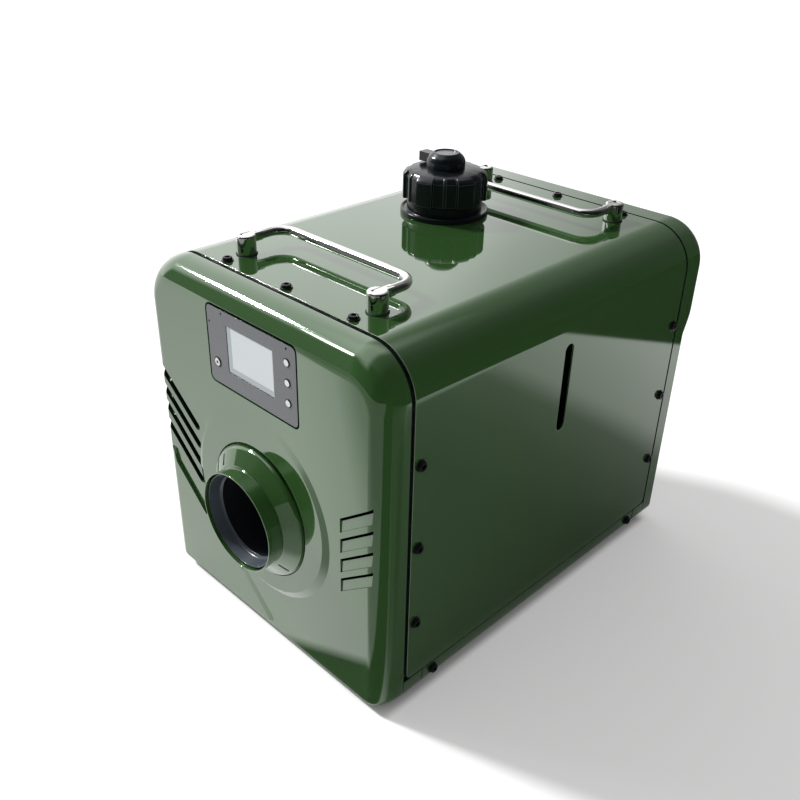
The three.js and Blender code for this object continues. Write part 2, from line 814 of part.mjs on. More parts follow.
// display: bezel, screen, board and keys
const plateBack = faceY + bezelPlate;
const flangeFrontY = faceY + faceWall;
const bezelBackY = faceY + bezelBack;
const keyPlaces = [['key_left', -keyLeftX, 0.281, keyLarge], ['key_upper', keyColumnX, 0.779, keySmall],
  ['key_middle', keyColumnX, 0.527, keySmall], ['key_lower', keyColumnX, 0.268, keySmall]];
const keyFlangeY = plateBack + keyRunning;
function keyBody([, x, share, radius], extra) {
  const place = at(x, 0, bezelLow + share * bezelTall);
  return rod(radius + extra, faceY - keyProud - extra, keyFlangeY, 'y', place, 14);
}

let bezel = alongY(roundedRect([-bezelHalf, bezelLow], [bezelHalf, bezelHigh], bezelCorner),
  faceY, flangeFrontY)
  .add(alongY(roundedRect([-bezelHalf - bezelFlange, bezelLow - bezelFlange],
    [bezelHalf + bezelFlange, bezelHigh + bezelFlange], bezelCorner), flangeFrontY, bezelBackY))
  .subtract(alongY(roundedRect([-bezelHalf - bezelFlange + bezelFrame,
    bezelLow - bezelFlange + bezelFrame], [bezelHalf + bezelFlange - bezelFrame,
    bezelHigh + bezelFlange - bezelFrame], bezelCorner / 2), plateBack, bezelBackY + tiny))
  .subtract(box([-windowX - windowHalf, faceY - tiny, windowLow],
    [-windowX + windowHalf, plateBack + tiny, windowHigh]))
  .subtract(box([-windowX - windowHalf - screenLap, faceY + windowStep, windowLow - screenLap],
    [-windowX + windowHalf + screenLap, plateBack + tiny, windowHigh + screenLap]));
keyPlaces.forEach((key) => {
  bezel = bezel.subtract(keyBody(key, keyRunning).add(keyBody(key, keyRunning)
    .translate(0, tiny, 0)));
});
piece('display_bezel', bezel, grey);
piece('display_screen', box([-windowX - windowHalf - screenLap + fitGap / 3, faceY + windowStep,
  windowLow - screenLap + fitGap / 3], [-windowX + windowHalf + screenLap - fitGap / 3,
  plateBack, windowHigh + screenLap - fitGap / 3]), glass);
piece('display_board', box([-bezelHalf - bezelFlange + boardLap, bezelBackY,
  bezelLow - bezelFlange + boardLap], [bezelHalf + bezelFlange - boardLap,
  bezelBackY + boardThick, bezelHigh + bezelFlange - boardLap]), board);
keyPlaces.forEach((key) => {
  const [name, x, share, radius] = key;
  const place = at(x, 0, bezelLow + share * bezelTall);
  const stemBack = bezelBackY - keyTravel - keyRunning;
  piece(name, turned([[0, faceY - keyProud], [radius, faceY - keyProud], [radius, keyFlangeY],
    [radius + keyFlange, keyFlangeY], [radius + keyFlange, keyFlangeY + keyFlangeThick],
    [radius / 2, keyFlangeY + keyFlangeThick], [radius / 2, stemBack], [0, stemBack]],
  'y', place, 14), white);
});

// carrying handles: posts, cross pins and folding bails
const pinZ = caseHeight + pinHeight;
const postTopZ = caseHeight + postHeight;
const tipFloorZ = pinZ - tongueTip - tongueTipGap;
const slotHalf = tongueHalf + tongueSide;
[['front', postFrontY, 1], ['rear', postRearY, -1]].forEach(([end, y, inward]) => {
  [['left', -1], ['right', 1]].forEach(([side, sign]) => {
    const place = at(sign * postX, y, 0);
    const slotBack = y - inward * slotBackWall;
    const slotFront = y + inward * postRadius * 2;
    const post = rod(postRadius, caseHeight, postTopZ, 'z', place, 20)
      .subtract(box([place.x - slotHalf, Math.min(slotBack, slotFront), tipFloorZ],
        [place.x + slotHalf, Math.max(slotBack, slotFront), postTopZ + tiny]))
      .subtract(rod(pinRadius + pinRunning, -wide, wide, 'x', at(0, y, pinZ), 12)
        .intersect(box([place.x - pinHalf, -wide, 0], [place.x + pinHalf, wide, wide])));
    piece(`handle_post_${end}_${side}`, post, steel);
    piece(`handle_pin_${end}_${side}`,
      rod(pinRadius, -pinHalf, pinHalf, 'x', at(place.x, y, pinZ), 12), steel);
  });
  const reachY = y + inward * barReach;
  const barStart = y + inward * tongueRoot;
  const corners = [at(-postX, barStart, pinZ), at(-postX, reachY, pinZ), at(postX, reachY, pinZ),
    at(postX, barStart, pinZ)];
  let bail = swept(roundedPath(corners, barBend), barRadius, 12);
  [-1, 1].forEach((sign) => {
    const x = sign * postX;
    const flat = stadium([y, pinZ], [barStart + inward * tongueTip, pinZ], tongueTip * 2);
    bail = bail.add(alongX(flat, x - tongueHalf, x + tongueHalf, 5));
  });
  bail = bail.subtract(rod(pinRadius + pinRunning, -wide, wide, 'x', at(0, y, pinZ), 12));
  piece(`handle_bail_${end}`, bail, steel);
});

// fuel tank: an upside-down L over the heater, with one leg standing on the tray
function tankShape(inset) {
  const high = tankHigh - inset;
  const half = tankHalf - inset;
  const round = tankCorner - inset;
  const shape = new THREE.Shape();
  shape.moveTo(-half, tankLow + inset);
  shape.lineTo(legInner + inset, tankLow + inset);
  shape.lineTo(legInner + inset, trayPlate + inset);
  shape.lineTo(half, trayPlate + inset);
  shape.absarc(half - round, high - round, round, 0, Math.PI / 2);
  shape.absarc(round - half, high - round, round, Math.PI / 2, Math.PI);
  return shape;
}

const tankAxis = at(-fillerX, fillerY, 0);
const tank = alongY(tankShape(0), tankFromY, tankToY, 4)
  .add(rod(tankNeckRadius, tankHigh - tankWall, tankNeckTop, 'z', tankAxis, 24))
  .subtract(alongY(tankShape(tankWall), tankFromY + tankWall, tankToY - tankWall, 4))
  .subtract(rod(neckBore, tankHigh - tankWall * 2, tankNeckTop + tiny, 'z', tankAxis, 24))
  .subtract(rod(outletPipeRadius + knobRunning, -tankWall * 2, tankWall * 2, 'y',
    at(legPipeX, tankFromY, outletPipeZ), 16));
piece('fuel_tank', tank, tankSkin);

// filler collar on the shell, with the neck for the cap
piece('filler_collar', turned([[neckBore, tankNeckTop - caseHeight],
  [collarPipe, tankNeckTop - caseHeight], [collarPipe, 0], [flangeRadius, 0],
  [flangeRadius, flangeHeight], [flangeRadius - flangeRim, flangeHeight],
  [flangeRadius - flangeRim, flangeHeight - flangeRimDrop],
  [collarRadius, flangeHeight - flangeRimDrop], [collarRadius, collarTop],
  [neckRadius, collarTop], [neckRadius, neckTop], [neckBore, neckTop],
  [neckBore, tankNeckTop - caseHeight]], 'z', fillerAxis, 28), black);

// fuel cap: twelve flat grip lobes with narrow grooves between them
const lobeCount = 12;
const lobeShares = [-0.5, -0.38, -0.31, 0, 0.31, 0.38];
function capRing(z, radius, root) {
  const ring = [];
  for (let lobe = 0; lobe < lobeCount; lobe += 1) {
    lobeShares.forEach((share) => {
      const angle = ((lobe + share) / lobeCount) * Math.PI * 2;
      const reach = Math.abs(share) > 0.35 ? root : radius;
      ring.push([reach * Math.cos(angle) - fillerX, reach * Math.sin(angle) + fillerY,
        caseHeight + z]);
    });
  }
  return ring;
}

const gasketTop = neckTop + gasketThick;
const cap = skin([capRing(capLow, capRadius - capChamfer / 3, capRoot - capChamfer / 3),
  capRing(capLow + capChamfer / 3, capRadius, capRoot),
  capRing(capGripTop, capRadius, capRoot),
  capRing(capTop - capChamfer / 3, capRadius - capChamfer, capRoot - capChamfer / 3),
  capRing(capTop, capRoot - capChamfer * 1.5, capRoot - capChamfer * 1.5)])
  .subtract(rod(capBore, capLow - tiny, gasketTop, 'z', fillerAxis, 24))
  .subtract(rod(knobStem + knobRunning, capTop - knobStemDrop, capTop + tiny, 'z', fillerAxis, 20));
piece('fuel_cap', cap, black);
piece('cap_gasket', turned([[gasketBore, neckTop], [neckRadius, neckTop],
  [neckRadius, gasketTop], [gasketBore, gasketTop], [gasketBore, neckTop]],
'z', fillerAxis, 20), rubber);

// vent knob with a small lever
const lever = box([-fillerX - leverReach, fillerY - leverHalf, caseHeight + capTop],
  [-fillerX - knobWaist / 2, fillerY + leverHalf, caseHeight + leverTop]);
piece('cap_vent_knob', turned([[0, capTop - knobStemDrop], [knobStem, capTop - knobStemDrop],
  [knobStem, capTop], [knobRadius, capTop], [knobRadius, leverTop], [knobWaist, knobTop],
  [knobDish, knobTop], [knobDish - knobDishDepth, knobTop - knobDishDepth],
  [0, knobTop - knobDishDepth]], 'z', fillerAxis, 28).add(lever), black);

// screws
screwPlaces.forEach(({ name, axis, place }) => {
  piece(name, turned([[0, -screwLength], [screwRadius, -screwLength], [screwRadius, 0],
    [headRadius, 0], [headRadius, headRim], [headDome, headHeight], [0, headHeight]],
  axis, place, 10), black);
});

// fuel line
const pipePlace = at(legPipeX, 0, outletPipeZ);
piece('tank_outlet_pipe', turned([[outletPipeBore, pumpY + pumpRadius],
  [outletPipeRadius, pumpY + pumpRadius], [outletPipeRadius, tankFromY + outletPipeInside],
  [outletPipeBore, tankFromY + outletPipeInside], [outletPipeBore, pumpY + pumpRadius]],
'y', pipePlace, 16), zinc);
const pumpPlace = at(legPipeX, pumpY, 0);
piece('fuel_pump', turned([[0, trayPlate], [pumpRadius, trayPlate],
  [pumpRadius, pumpTop - pumpEnd * 2], [pumpWaist, pumpTop - pumpEnd * 2],
  [pumpWaist, pumpTop - pumpEnd], [outletPipeRadius, pumpTop - pumpEnd],
  [outletPipeRadius, pumpTop], [0, pumpTop]], 'z', pumpPlace, 20), zinc);
const hoseHigh = pumpTop + hoseRadius * 8;
const hoseInX = unitHalf - unitWall * 2;
const hosePath = roundedPath([at(legPipeX, pumpY, pumpTop), at(legPipeX, pumpY, hoseHigh),
  at(hoseInX, pumpY, hoseHigh)], hoseRadius * 5);
piece('fuel_hose', swept(hosePath, hoseRadius, 10), rubber);

// heater unit casing
const unitShapeOf = (inset) => roundedRect([-unitHalf + inset, outletZ - unitHalf + inset],
  [unitHalf - inset, outletZ + unitHalf - inset], unitCorner - inset);
const unit = alongY(unitShapeOf(0), unitFromY, unitToY, 4)
  .subtract(alongY(unitShapeOf(unitWall), unitFromY + unitWall, unitToY - unitWall, 4))
  .subtract(rod(linerRadius + fitGap, -tiny, unitWall + tiny, 'y', at(0, unitFromY, outletZ), 30))
  .subtract(rod(unitInlet, -unitWall - tiny, tiny, 'y', at(0, unitToY, outletZ), 28))
  .subtract(rod(hoseRadius + fitGap, hoseInX - tiny, wide, 'x', at(0, pumpY, hoseHigh), 12))
  .subtract(rod(exhaustRadius + pathClear, 0, outletZ, 'z', at(-pipeX, exhaustY, 0)))
  .subtract(rod(intakeRadius + pathClear, 0, intakeTop, 'z', at(pipeX, intakeY, 0)));
piece('heater_casing', unit, tankSkin);

// heat exchanger: a closed finned cup held by three ribs
const finCount = 16;
const fins = Array.from({ length: finCount }, (_, i) => solid(new THREE.BoxGeometry(finReach,
  coreToY - coreFromY, finHalf * 2).translate(finReach / 2, (coreToY + coreFromY) / 2, 0)
  .rotateY((i / finCount) * Math.PI * 2).translate(0, 0, outletZ)));
const ribReach = unitHalf - unitWall - ribGap;
const ribs = [box([-ribReach, coreFromY, outletZ - ribHalf], [ribReach, coreToY, outletZ + ribHalf]),
  box([-ribHalf, coreFromY, outletZ], [ribHalf, coreToY, outletZ + ribReach])];
const plugAxis = at(0, plugY, outletZ);
const core = rod(coreRadius, coreFromY, coreToY, 'y', outletAxis, 20)
  .add(wasm.Manifold.union([...fins, ...ribs]))
  .subtract(rod(coreBore, coreFromY + coreEnd, coreToY + tiny, 'y', outletAxis, 20))
  .subtract(rod(exhaustRadius + pathClear, 0, exhaustTop + ribGap, 'z', at(-pipeX, exhaustY, 0)))
  .subtract(rod(plugRadius + plugFit, 0, unitHalf, 'z', plugAxis, 12))
  .subtract(rod(plugHead + plugFit, coreRadius, unitHalf, 'z', plugAxis, 12));
piece('heat_exchanger', core, alloy);

// burner tube and glow plug
const flangeFront = coreToY - burnerFlangeThick;
piece('burner_tube', turned([[burnerBore, coreFromY + coreEnd + burnerGap],
  [burnerRadius, coreFromY + coreEnd + burnerGap], [burnerRadius, flangeFront],
  [burnerFlange, flangeFront], [burnerFlange, coreToY], [burnerBore, coreToY],
  [burnerBore, coreFromY + coreEnd + burnerGap]], 'y', outletAxis, 20)
  .subtract(rod(plugRadius + plugFit, 0, unitHalf, 'z', plugAxis, 12)), steel);
piece('glow_plug', turned([[0, plugLow], [plugRadius, plugLow], [plugRadius, coreRadius],
  [plugHead, coreRadius], [plugHead, coreRadius + plugHead], [0, coreRadius + plugHead]],
'z', plugAxis, 12), zinc);

// blower: motor on a cross strut, shaft, and a fan at each end
const strutReach = unitHalf - unitWall - ribGap;
const motorMid = (motorFromY + motorToY) / 2;
const motor = rod(motorRadius, motorFromY, motorToY, 'y', outletAxis, 24)
  .add(box([-strutReach, motorMid - motorStrut, outletZ - motorStrut],
    [strutReach, motorMid + motorStrut, outletZ + motorStrut]))
  .subtract(rod(shaftRadius + shaftRunning, motorFromY - tiny, motorToY + tiny, 'y', outletAxis, 16));
piece('blower_motor', motor, zinc);
piece('rotor_shaft', rod(shaftRadius, shaftFromY, shaftToY, 'y', outletAxis, 16), steel);

function fan(hub, reach, from, to, blades, skew) {
  const parts = Array.from({ length: blades }, (_, i) => {
    const turn = (i / blades) * Math.PI * 2;
    const rings = [hub / 2, reach].map((radius) => [[-fanBlade, 0, 0], [fanBlade, 0, 0],
      [fanBlade, 1, 1], [-fanBlade, 1, 1]].map(([x, y, far]) => new THREE.Vector3(
      x + far * skew, from + y * (to - from), radius)
      .applyAxisAngle(new THREE.Vector3(0, 1, 0), turn).add(outletAxis).toArray()));
    return skin(rings);
  });
  return wasm.Manifold.union(parts)
    .add(rod(hub, from, to, 'y', outletAxis, 20))
    .subtract(rod(shaftRadius + shaftRunning / 2, from - tiny, to + tiny, 'y', outletAxis, 16));
}
piece('circulation_fan', fan(fanHub, fanReach, fanFromY, fanToY, 8, fanSkew), black);
piece('combustion_fan', fan(blastHub, blastReach, blastFromY, blastToY, 10, 0), alloy);

// exhaust and combustion-air pipes, out through the rear cover
function elbow(x, y, top, radius) {
  const outer = roundedPath([at(x, y, top), at(x, y, pipeZ), at(x, panelDepth + pipeEnd, pipeZ)],
    pipeBend);
  const inner = outer.map((point) => point.clone());
  inner[0].z += tiny;
  inner[inner.length - 1].y += tiny;
  return swept(outer, radius, 14).subtract(swept(inner, radius - pipeWall, 14));
}
piece('exhaust_pipe', elbow(-pipeX, exhaustY, exhaustTop, exhaustRadius), steel);
piece('intake_pipe', elbow(pipeX, intakeY, intakeTop, intakeRadius), black);

// control board on the upright, power socket in the rear cover, and the harness
const boardX = -uprightX - boardThick;
const chips = [[0.1, 0.15, 0.4, 0.5, 1], [0.5, 0.2, 0.8, 0.45, 0.7], [0.2, 0.65, 0.45, 0.9, 1],
  [0.6, 0.6, 0.9, 0.85, 0.5]];
const controlDeep = controlToY - controlFromY;
const controlTall = controlHigh - controlLow;
let control = box([boardX, controlFromY, controlLow], [-uprightX, controlToY, controlHigh]);
chips.forEach(([y1, z1, y2, z2, tall]) => {
  control = control.add(box(
    [boardX - chipTall * tall, controlFromY + y1 * controlDeep, controlLow + z1 * controlTall],
    [-uprightX, controlFromY + y2 * controlDeep, controlLow + z2 * controlTall]));
});
piece('control_board', control, board);

const socketFaceY = rearLowY + socketFlange;
const socketBackY = rearLowY - socketBody;
const socket = box([-socketX - socketHalfX, rearLowY, socketZ - socketHalfZ],
  [-socketX + socketHalfX, socketFaceY, socketZ + socketHalfZ])
  .add(box([-socketX - socketBodyHalfX, socketBackY, socketZ - socketBodyHalfZ],
    [-socketX + socketBodyHalfX, socketFaceY, socketZ + socketBodyHalfZ]))
  .subtract(box([-socketX - socketBodyHalfX + socketWall, socketBackY + socketWall,
    socketZ - socketBodyHalfZ + socketWall], [-socketX + socketBodyHalfX - socketWall,
    socketFaceY + tiny, socketZ + socketBodyHalfZ - socketWall]))
  .add(wasm.Manifold.union([-1, 1].map((sign) => rod(socketPin, socketWall / 2,
    socketPinLength, 'y', at(-socketX + sign * socketBodyHalfX / 3, socketBackY, socketZ), 8))));
piece('power_socket', socket, black);

const wireLow = controlLow - wireRadius * 2;
const wireX = uprightX + wireRadius + boardThick;
const wirePath = roundedPath([
  at(-keyLeftX, bezelBackY + boardThick, windowLow),
  at(-keyLeftX, -frontSeam, windowLow),
  at(-wireX, -frontSeam, windowLow),
  at(-wireX, -frontSeam, wireLow),
  at(-wireX, controlToY + pipeBend * 2, wireLow),
  at(-socketX, controlToY + pipeBend * 2, socketZ),
  at(-socketX, socketBackY, socketZ)], wireRadius * 2.5, 4);
piece('wiring_harness', swept(wirePath, wireRadius, 8), rubber);

// to the middle of the footprint, standing on the feet
group.children.forEach((node) => {
  node.geometry.translate(0, (rimReach + frontDepth - panelDepth - rearDepth) / 2, footDrop);
});

export default group;
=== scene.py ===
import json
import math

import bmesh
import bpy
from mathutils import Matrix, Vector


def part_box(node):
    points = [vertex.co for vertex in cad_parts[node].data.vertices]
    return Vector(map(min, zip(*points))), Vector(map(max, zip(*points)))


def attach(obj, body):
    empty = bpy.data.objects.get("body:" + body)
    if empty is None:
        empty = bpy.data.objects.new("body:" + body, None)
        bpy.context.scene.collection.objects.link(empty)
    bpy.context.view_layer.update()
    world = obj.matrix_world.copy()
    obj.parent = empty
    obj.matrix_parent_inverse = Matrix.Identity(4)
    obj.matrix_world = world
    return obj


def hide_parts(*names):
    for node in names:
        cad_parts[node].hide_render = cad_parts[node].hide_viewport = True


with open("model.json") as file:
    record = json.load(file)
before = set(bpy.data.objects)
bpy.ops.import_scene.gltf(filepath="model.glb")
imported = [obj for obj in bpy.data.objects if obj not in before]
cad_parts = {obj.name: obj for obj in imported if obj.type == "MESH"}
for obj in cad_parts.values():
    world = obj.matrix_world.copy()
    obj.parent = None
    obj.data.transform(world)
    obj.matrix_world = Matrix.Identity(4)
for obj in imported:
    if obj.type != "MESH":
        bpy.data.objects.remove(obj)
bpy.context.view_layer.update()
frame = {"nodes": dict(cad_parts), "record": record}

# The shapes are worked out in millimetres with y = 0 at the front seam and z = 0 at the
# lower edge of the covers, as in the part's source, and then placed in the frame in metres.

# case, in millimetres
WIDTH = 260.0
HEIGHT = 286.0
DEPTH = 320.0
TOP_CORNER = 35.0
LOW_CORNER = 9.0
LOW_STEPS = 5
FRONT_DEPTH = 26.0
REAR_DEPTH = 28.0
REAR_LOW_DEPTH = 15.0
KINK_TOP = 225.0
KINK_LOW = 190.0
SHEET = 1.6
COVER_WALL = 3.5
FACE_WALL = 4.0
FRONT_SEAM = 1.2
REAR_SEAM = 0.35
TONGUE = 17.3
TONGUE_ROOT = 0.7
PANEL_FOOT = 18.0
FOOT_GAP = 0.8
FOOT_DROP = 4.0
FACE_Y = -FRONT_DEPTH
RIM_REACH = 23.0
OUTLET_Z = 116.3
PLATEAU_Z = 122.5
FACE_BACK = FACE_Y + FACE_WALL
RIM_Y = FACE_Y - RIM_REACH
REAR_Y = DEPTH + REAR_DEPTH
REAR_LOW_Y = DEPTH + REAR_LOW_DEPTH
OUTLET = Vector((0, 0, OUTLET_Z))
FILLER = Vector((-39, 207, HEIGHT))

# how far a cutter reaches past what it cuts, and the least depths that count as below a face
PAST = 1.0
BELOW = 0.05
HAIR = 0.01

MM = 0.001
SHIFT = Vector((0.0, (RIM_REACH + FRONT_DEPTH - DEPTH - REAR_DEPTH) / 2, FOOT_DROP))
PLACE = Matrix.Diagonal((MM, MM, MM, 1.0)) @ Matrix.Translation(SHIFT)


def add_object(name, data):
    thing = bpy.data.objects.new(name, data)
    bpy.context.scene.collection.objects.link(thing)
    return thing


# camera, fitted to the photograph
CAMERA_AT = Vector((458.3, -348.8, 533.4))
CAMERA_YAW = 0.774
CAMERA_PITCH = 0.525
CAMERA_ROLL = -0.024
FOCAL_SHARE = 917.05 / 800.0
SENSOR = 36.0


def make_camera():
    ahead = Vector((
        -math.sin(CAMERA_YAW) * math.cos(CAMERA_PITCH),
        math.cos(CAMERA_YAW) * math.cos(CAMERA_PITCH),
        -math.sin(CAMERA_PITCH),
    ))
    right = ahead.cross(Vector((0, 0, 1))).normalized()
    down = ahead.cross(right)
    across = right * math.cos(CAMERA_ROLL) + down * math.sin(CAMERA_ROLL)
    below = down * math.cos(CAMERA_ROLL) - right * math.sin(CAMERA_ROLL)
    data = bpy.data.cameras.new("camera")
    data.sensor_width = SENSOR
    data.lens = FOCAL_SHARE * SENSOR
    data.clip_start = 0.01
    data.clip_end = 60.0
    camera = add_object("camera", data)
    turn = Matrix((across, -below, -ahead)).transposed()
    camera.matrix_world = Matrix.Translation(PLACE @ CAMERA_AT) @ turn.to_4x4()
    bpy.context.scene.camera = camera


make_camera()


# shader nodes

def join(tree, given, socket):
    """Gives a socket a plain value or the output of another node."""
    if isinstance(given, bpy.types.NodeSocket):
        tree.links.new(given, socket)
    else:
        socket.default_value = given


def reckon(tree, operation, first, second):
    result = tree.nodes.new("ShaderNodeMath")
    result.operation = operation
    join(tree, first, result.inputs[0])
    join(tree, second, result.inputs[1])
    return result.outputs[0]


def times(tree, first, second):
    return reckon(tree, "MULTIPLY", first, second)


def added(tree, first, second):
    return reckon(tree, "ADD", first, second)


def weighed(tree, x, y, x_share, y_share):
    """x and y added up with their shares."""
    return added(tree, times(tree, x, x_share), times(tree, y, y_share))


def between(tree, place, start, end):
    """1 where a coordinate lies between two values, and 0 elsewhere."""
    return times(tree, reckon(tree, "GREATER_THAN", place, start),
                 reckon(tree, "LESS_THAN", place, end))


def blended(tree, share, first, second, kind="FLOAT"):
    """The first value or colour where share is 0 and the second where it is 1."""
    mix = tree.nodes.new("ShaderNodeMix")
    mix.data_type = kind
    join(tree, share, mix.inputs["Factor"])
    join(tree, first, mix.inputs["A"])
    join(tree, second, mix.inputs["B"])
    return mix.outputs["Result"]


def ramp(tree, socket, stops):
    """A grey value that follows a socket along straight steps of (place, value)."""
    start, end = stops[0][0], stops[-1][0]
    share = tree.nodes.new("ShaderNodeMapRange")
    share.inputs["From Min"].default_value = start
    share.inputs["From Max"].default_value = end
    join(tree, socket, share.inputs["Value"])
    curve = tree.nodes.new("ShaderNodeValToRGB")
    elements = curve.color_ramp.elements
    while len(elements) < len(stops):
        elements.new(0.5)
    for element, (place, value) in zip(elements, stops):
        element.position = (place - start) / (end - start)
        element.color = (value, value, value, 1.0)
    join(tree, share.outputs["Result"], curve.inputs["Fac"])
    return curve.outputs["Color"]


def coordinates(tree, kind):
    """The x, y and z of a texture coordinate."""
    where = tree.nodes.new("ShaderNodeTexCoord")
    split = tree.nodes.new("ShaderNodeSeparateXYZ")
    join(tree, where.outputs[kind], split.inputs[0])
    return split.outputs["X"], split.outputs["Y"], split.outputs["Z"]


def noise(tree, scale, detail):
    """Noise over the Object coordinates."""
    where = tree.nodes.new("ShaderNodeTexCoord")
    speckle = tree.nodes.new("ShaderNodeTexNoise")
    speckle.inputs["Detail"].default_value = detail
    join(tree, where.outputs["Object"], speckle.inputs["Vector"])
    join(tree, scale, speckle.inputs["Scale"])
    return speckle.outputs["Fac"]


# materials

GROUP_INPUTS = {"Dark": "Color", "Light": "Color", "Patch scale": "Float",
                "Grain scale": "Float", "Grain depth": "Float", "Rough low": "Float",
                "Rough high": "Float"}
GROUP_OUTPUTS = {"Color": "Color", "Roughness": "Float", "Normal": "Vector"}
PATCH_DETAIL = 4.0
GRAIN_DETAIL = 2.0
BUMP_HEIGHT = 0.0002


def new_material(name):
    material = bpy.data.materials.new(name)
    material.use_nodes = True
    nodes = material.node_tree.nodes
    nodes.clear()
    output = nodes.new("ShaderNodeOutputMaterial")
    shader = nodes.new("ShaderNodeBsdfPrincipled")
    material.node_tree.links.new(shader.outputs[0], output.inputs[0])
    return material, shader


def make_grain_group():
    """Colour variation and fine bump from noise."""
    group = bpy.data.node_groups.new("grain", "ShaderNodeTree")
    for way, sockets in (("INPUT", GROUP_INPUTS), ("OUTPUT", GROUP_OUTPUTS)):
        for name, kind in sockets.items():
            group.interface.new_socket(name, in_out=way, socket_type="NodeSocket" + kind)
    given = group.nodes.new("NodeGroupInput").outputs
    result = group.nodes.new("NodeGroupOutput").inputs
    patches = noise(group, given["Patch scale"], PATCH_DETAIL)
    join(group, blended(group, patches, given["Dark"], given["Light"], "RGBA"), result["Color"])
    rough = group.nodes.new("ShaderNodeMapRange")
    join(group, patches, rough.inputs["Value"])
    join(group, given["Rough low"], rough.inputs["To Min"])
    join(group, given["Rough high"], rough.inputs["To Max"])
    join(group, rough.outputs["Result"], result["Roughness"])
    bump = group.nodes.new("ShaderNodeBump")
    bump.inputs["Distance"].default_value = BUMP_HEIGHT
    join(group, given["Grain depth"], bump.inputs["Strength"])
    join(group, noise(group, given["Grain scale"], GRAIN_DETAIL), bump.inputs["Height"])
    join(group, bump.outputs["Normal"], result["Normal"])
    return group


GRAIN = make_grain_group()


def grained(name, dark, light, rough, patch=9.0, grain=900.0, depth=0.1, **sockets):
    """A material whose colour, roughness and bump come from the grain group."""
    material, shader = new_material(name)
    node = material.node_tree.nodes.new("ShaderNodeGroup")
    node.node_tree = GRAIN
    values = {"Dark": (*dark, 1.0), "Light": (*light, 1.0), "Patch scale": patch,
              "Grain scale": grain, "Grain depth": depth, "Rough low": rough[0],
              "Rough high": rough[1]}
    for socket, value in values.items():
        node.inputs[socket].default_value = value
    for output, socket in (("Color", "Base Color"), ("Roughness", "Roughness"),
                           ("Normal", "Normal")):
        join(material.node_tree, node.outputs[output], shader.inputs[socket])
    for socket, value in sockets.items():
        shader.inputs[socket.replace("_", " ")].default_value = value
    return material


PAINT_DARK = (0.026, 0.071, 0.0185)
PAINT_LIGHT = (0.028, 0.076, 0.0195)
green_paint = grained("green_paint", PAINT_DARK, PAINT_LIGHT, (0.04, 0.06), patch=6.0,
                      grain=420.0, depth=0.004, IOR=1.9, Specular_Tint=(0.8, 1.0, 0.8, 1.0),
                      Coat_Weight=1.0, Coat_Roughness=0.01, Coat_IOR=1.5)
# lighter green on the bevelled edges of the painted pieces: a painted highlight
paint_highlight_edge = grained("paint_highlight_edge", (0.13, 0.18, 0.12), (0.15, 0.20, 0.14), (0.05, 0.07),
                     patch=6.0, grain=420.0, depth=0.004, Coat_Weight=1.0)
# much darker green for the deep walls of the left slots: painted shade
slot_shade_paint = grained("slot_shade_paint", (0.006, 0.016, 0.005), (0.008, 0.020, 0.006), (0.3, 0.4),
                     patch=6.0, grain=420.0, depth=0.01)
black_plastic = grained("black_plastic", (0.008, 0.010, 0.012), (0.014, 0.017, 0.020),
                        (0.30, 0.42), patch=30.0, grain=1500.0, depth=0.10)
satin_black = grained("satin_black", (0.003, 0.005, 0.006), (0.006, 0.009, 0.011),
                      (0.17, 0.23), patch=60.0, grain=1800.0, depth=0.04)
# greyer edges on the black plastic of the cap and the knob: a painted highlight
plastic_highlight_edge = grained("plastic_highlight_edge", (0.035, 0.042, 0.050), (0.045, 0.053, 0.062),
                       (0.15, 0.20), patch=60.0, grain=1800.0, depth=0.04)
black_steel = grained("black_steel", (0.010, 0.010, 0.011), (0.022, 0.022, 0.024),
                      (0.12, 0.18), patch=80.0, grain=1400.0, depth=0.04, Metallic=0.6)
rubber = grained("rubber", (0.012, 0.012, 0.012), (0.022, 0.022, 0.022),
                 (0.65, 0.80), patch=40.0, grain=1600.0, depth=0.25)
chrome = grained("chrome", (0.80, 0.80, 0.79), (0.88, 0.88, 0.87), (0.02, 0.04),
                 patch=25.0, grain=700.0, depth=0.010, Metallic=1.0)
plain_steel = grained("plain_steel", (0.34, 0.34, 0.35), (0.46, 0.46, 0.47), (0.28, 0.40),
                      patch=30.0, grain=1200.0, depth=0.10, Metallic=1.0)
cast_alloy = grained("cast_alloy", (0.40, 0.41, 0.42), (0.52, 0.53, 0.54), (0.45, 0.60),
                     patch=40.0, grain=1500.0, depth=0.35, Metallic=1.0)
bezel_grey = grained("bezel_grey", (0.090, 0.097, 0.103), (0.105, 0.112, 0.120),
                     (0.24, 0.30), patch=20.0, grain=2200.0, depth=0.08,
                     Specular_IOR_Level=0.8)
tank_plastic = grained("tank_plastic", (0.010, 0.011, 0.012), (0.018, 0.020, 0.022),
                       (0.35, 0.50), patch=15.0, grain=800.0, depth=0.15)
circuit_green = grained("circuit_green", (0.010, 0.080, 0.030), (0.016, 0.110, 0.042),
                        (0.30, 0.42), patch=120.0, grain=900.0, depth=0.20)
key_white = grained("key_white", (0.62, 0.64, 0.64), (0.72, 0.74, 0.74), (0.22, 0.30),
                    patch=60.0, grain=1500.0, depth=0.05)
key_ring = grained("key_ring", (0.006, 0.007, 0.008), (0.012, 0.013, 0.014), (0.3, 0.4),
                   patch=60.0, grain=1500.0, depth=0.05)
liner_grey = grained("liner_grey", (0.040, 0.050, 0.062), (0.050, 0.062, 0.076), (0.24, 0.30),
                     patch=30.0, grain=1500.0, depth=0.05)


# mesh helpers

def finish_piece(name, bm, body, nodes, materials):
    """Turns a bmesh in millimetres into a piece that rides on a body and stands for nodes."""
    bmesh.ops.transform(bm, matrix=PLACE, verts=bm.verts)
    mesh = bpy.data.meshes.new(name)
    bm.to_mesh(mesh)
    bm.free()
    for material in materials:
        mesh.materials.append(material)
    mesh.shade_smooth()
    piece = add_object(name, mesh)
    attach(piece, body)
    if nodes:
        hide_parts(*nodes)
    return piece


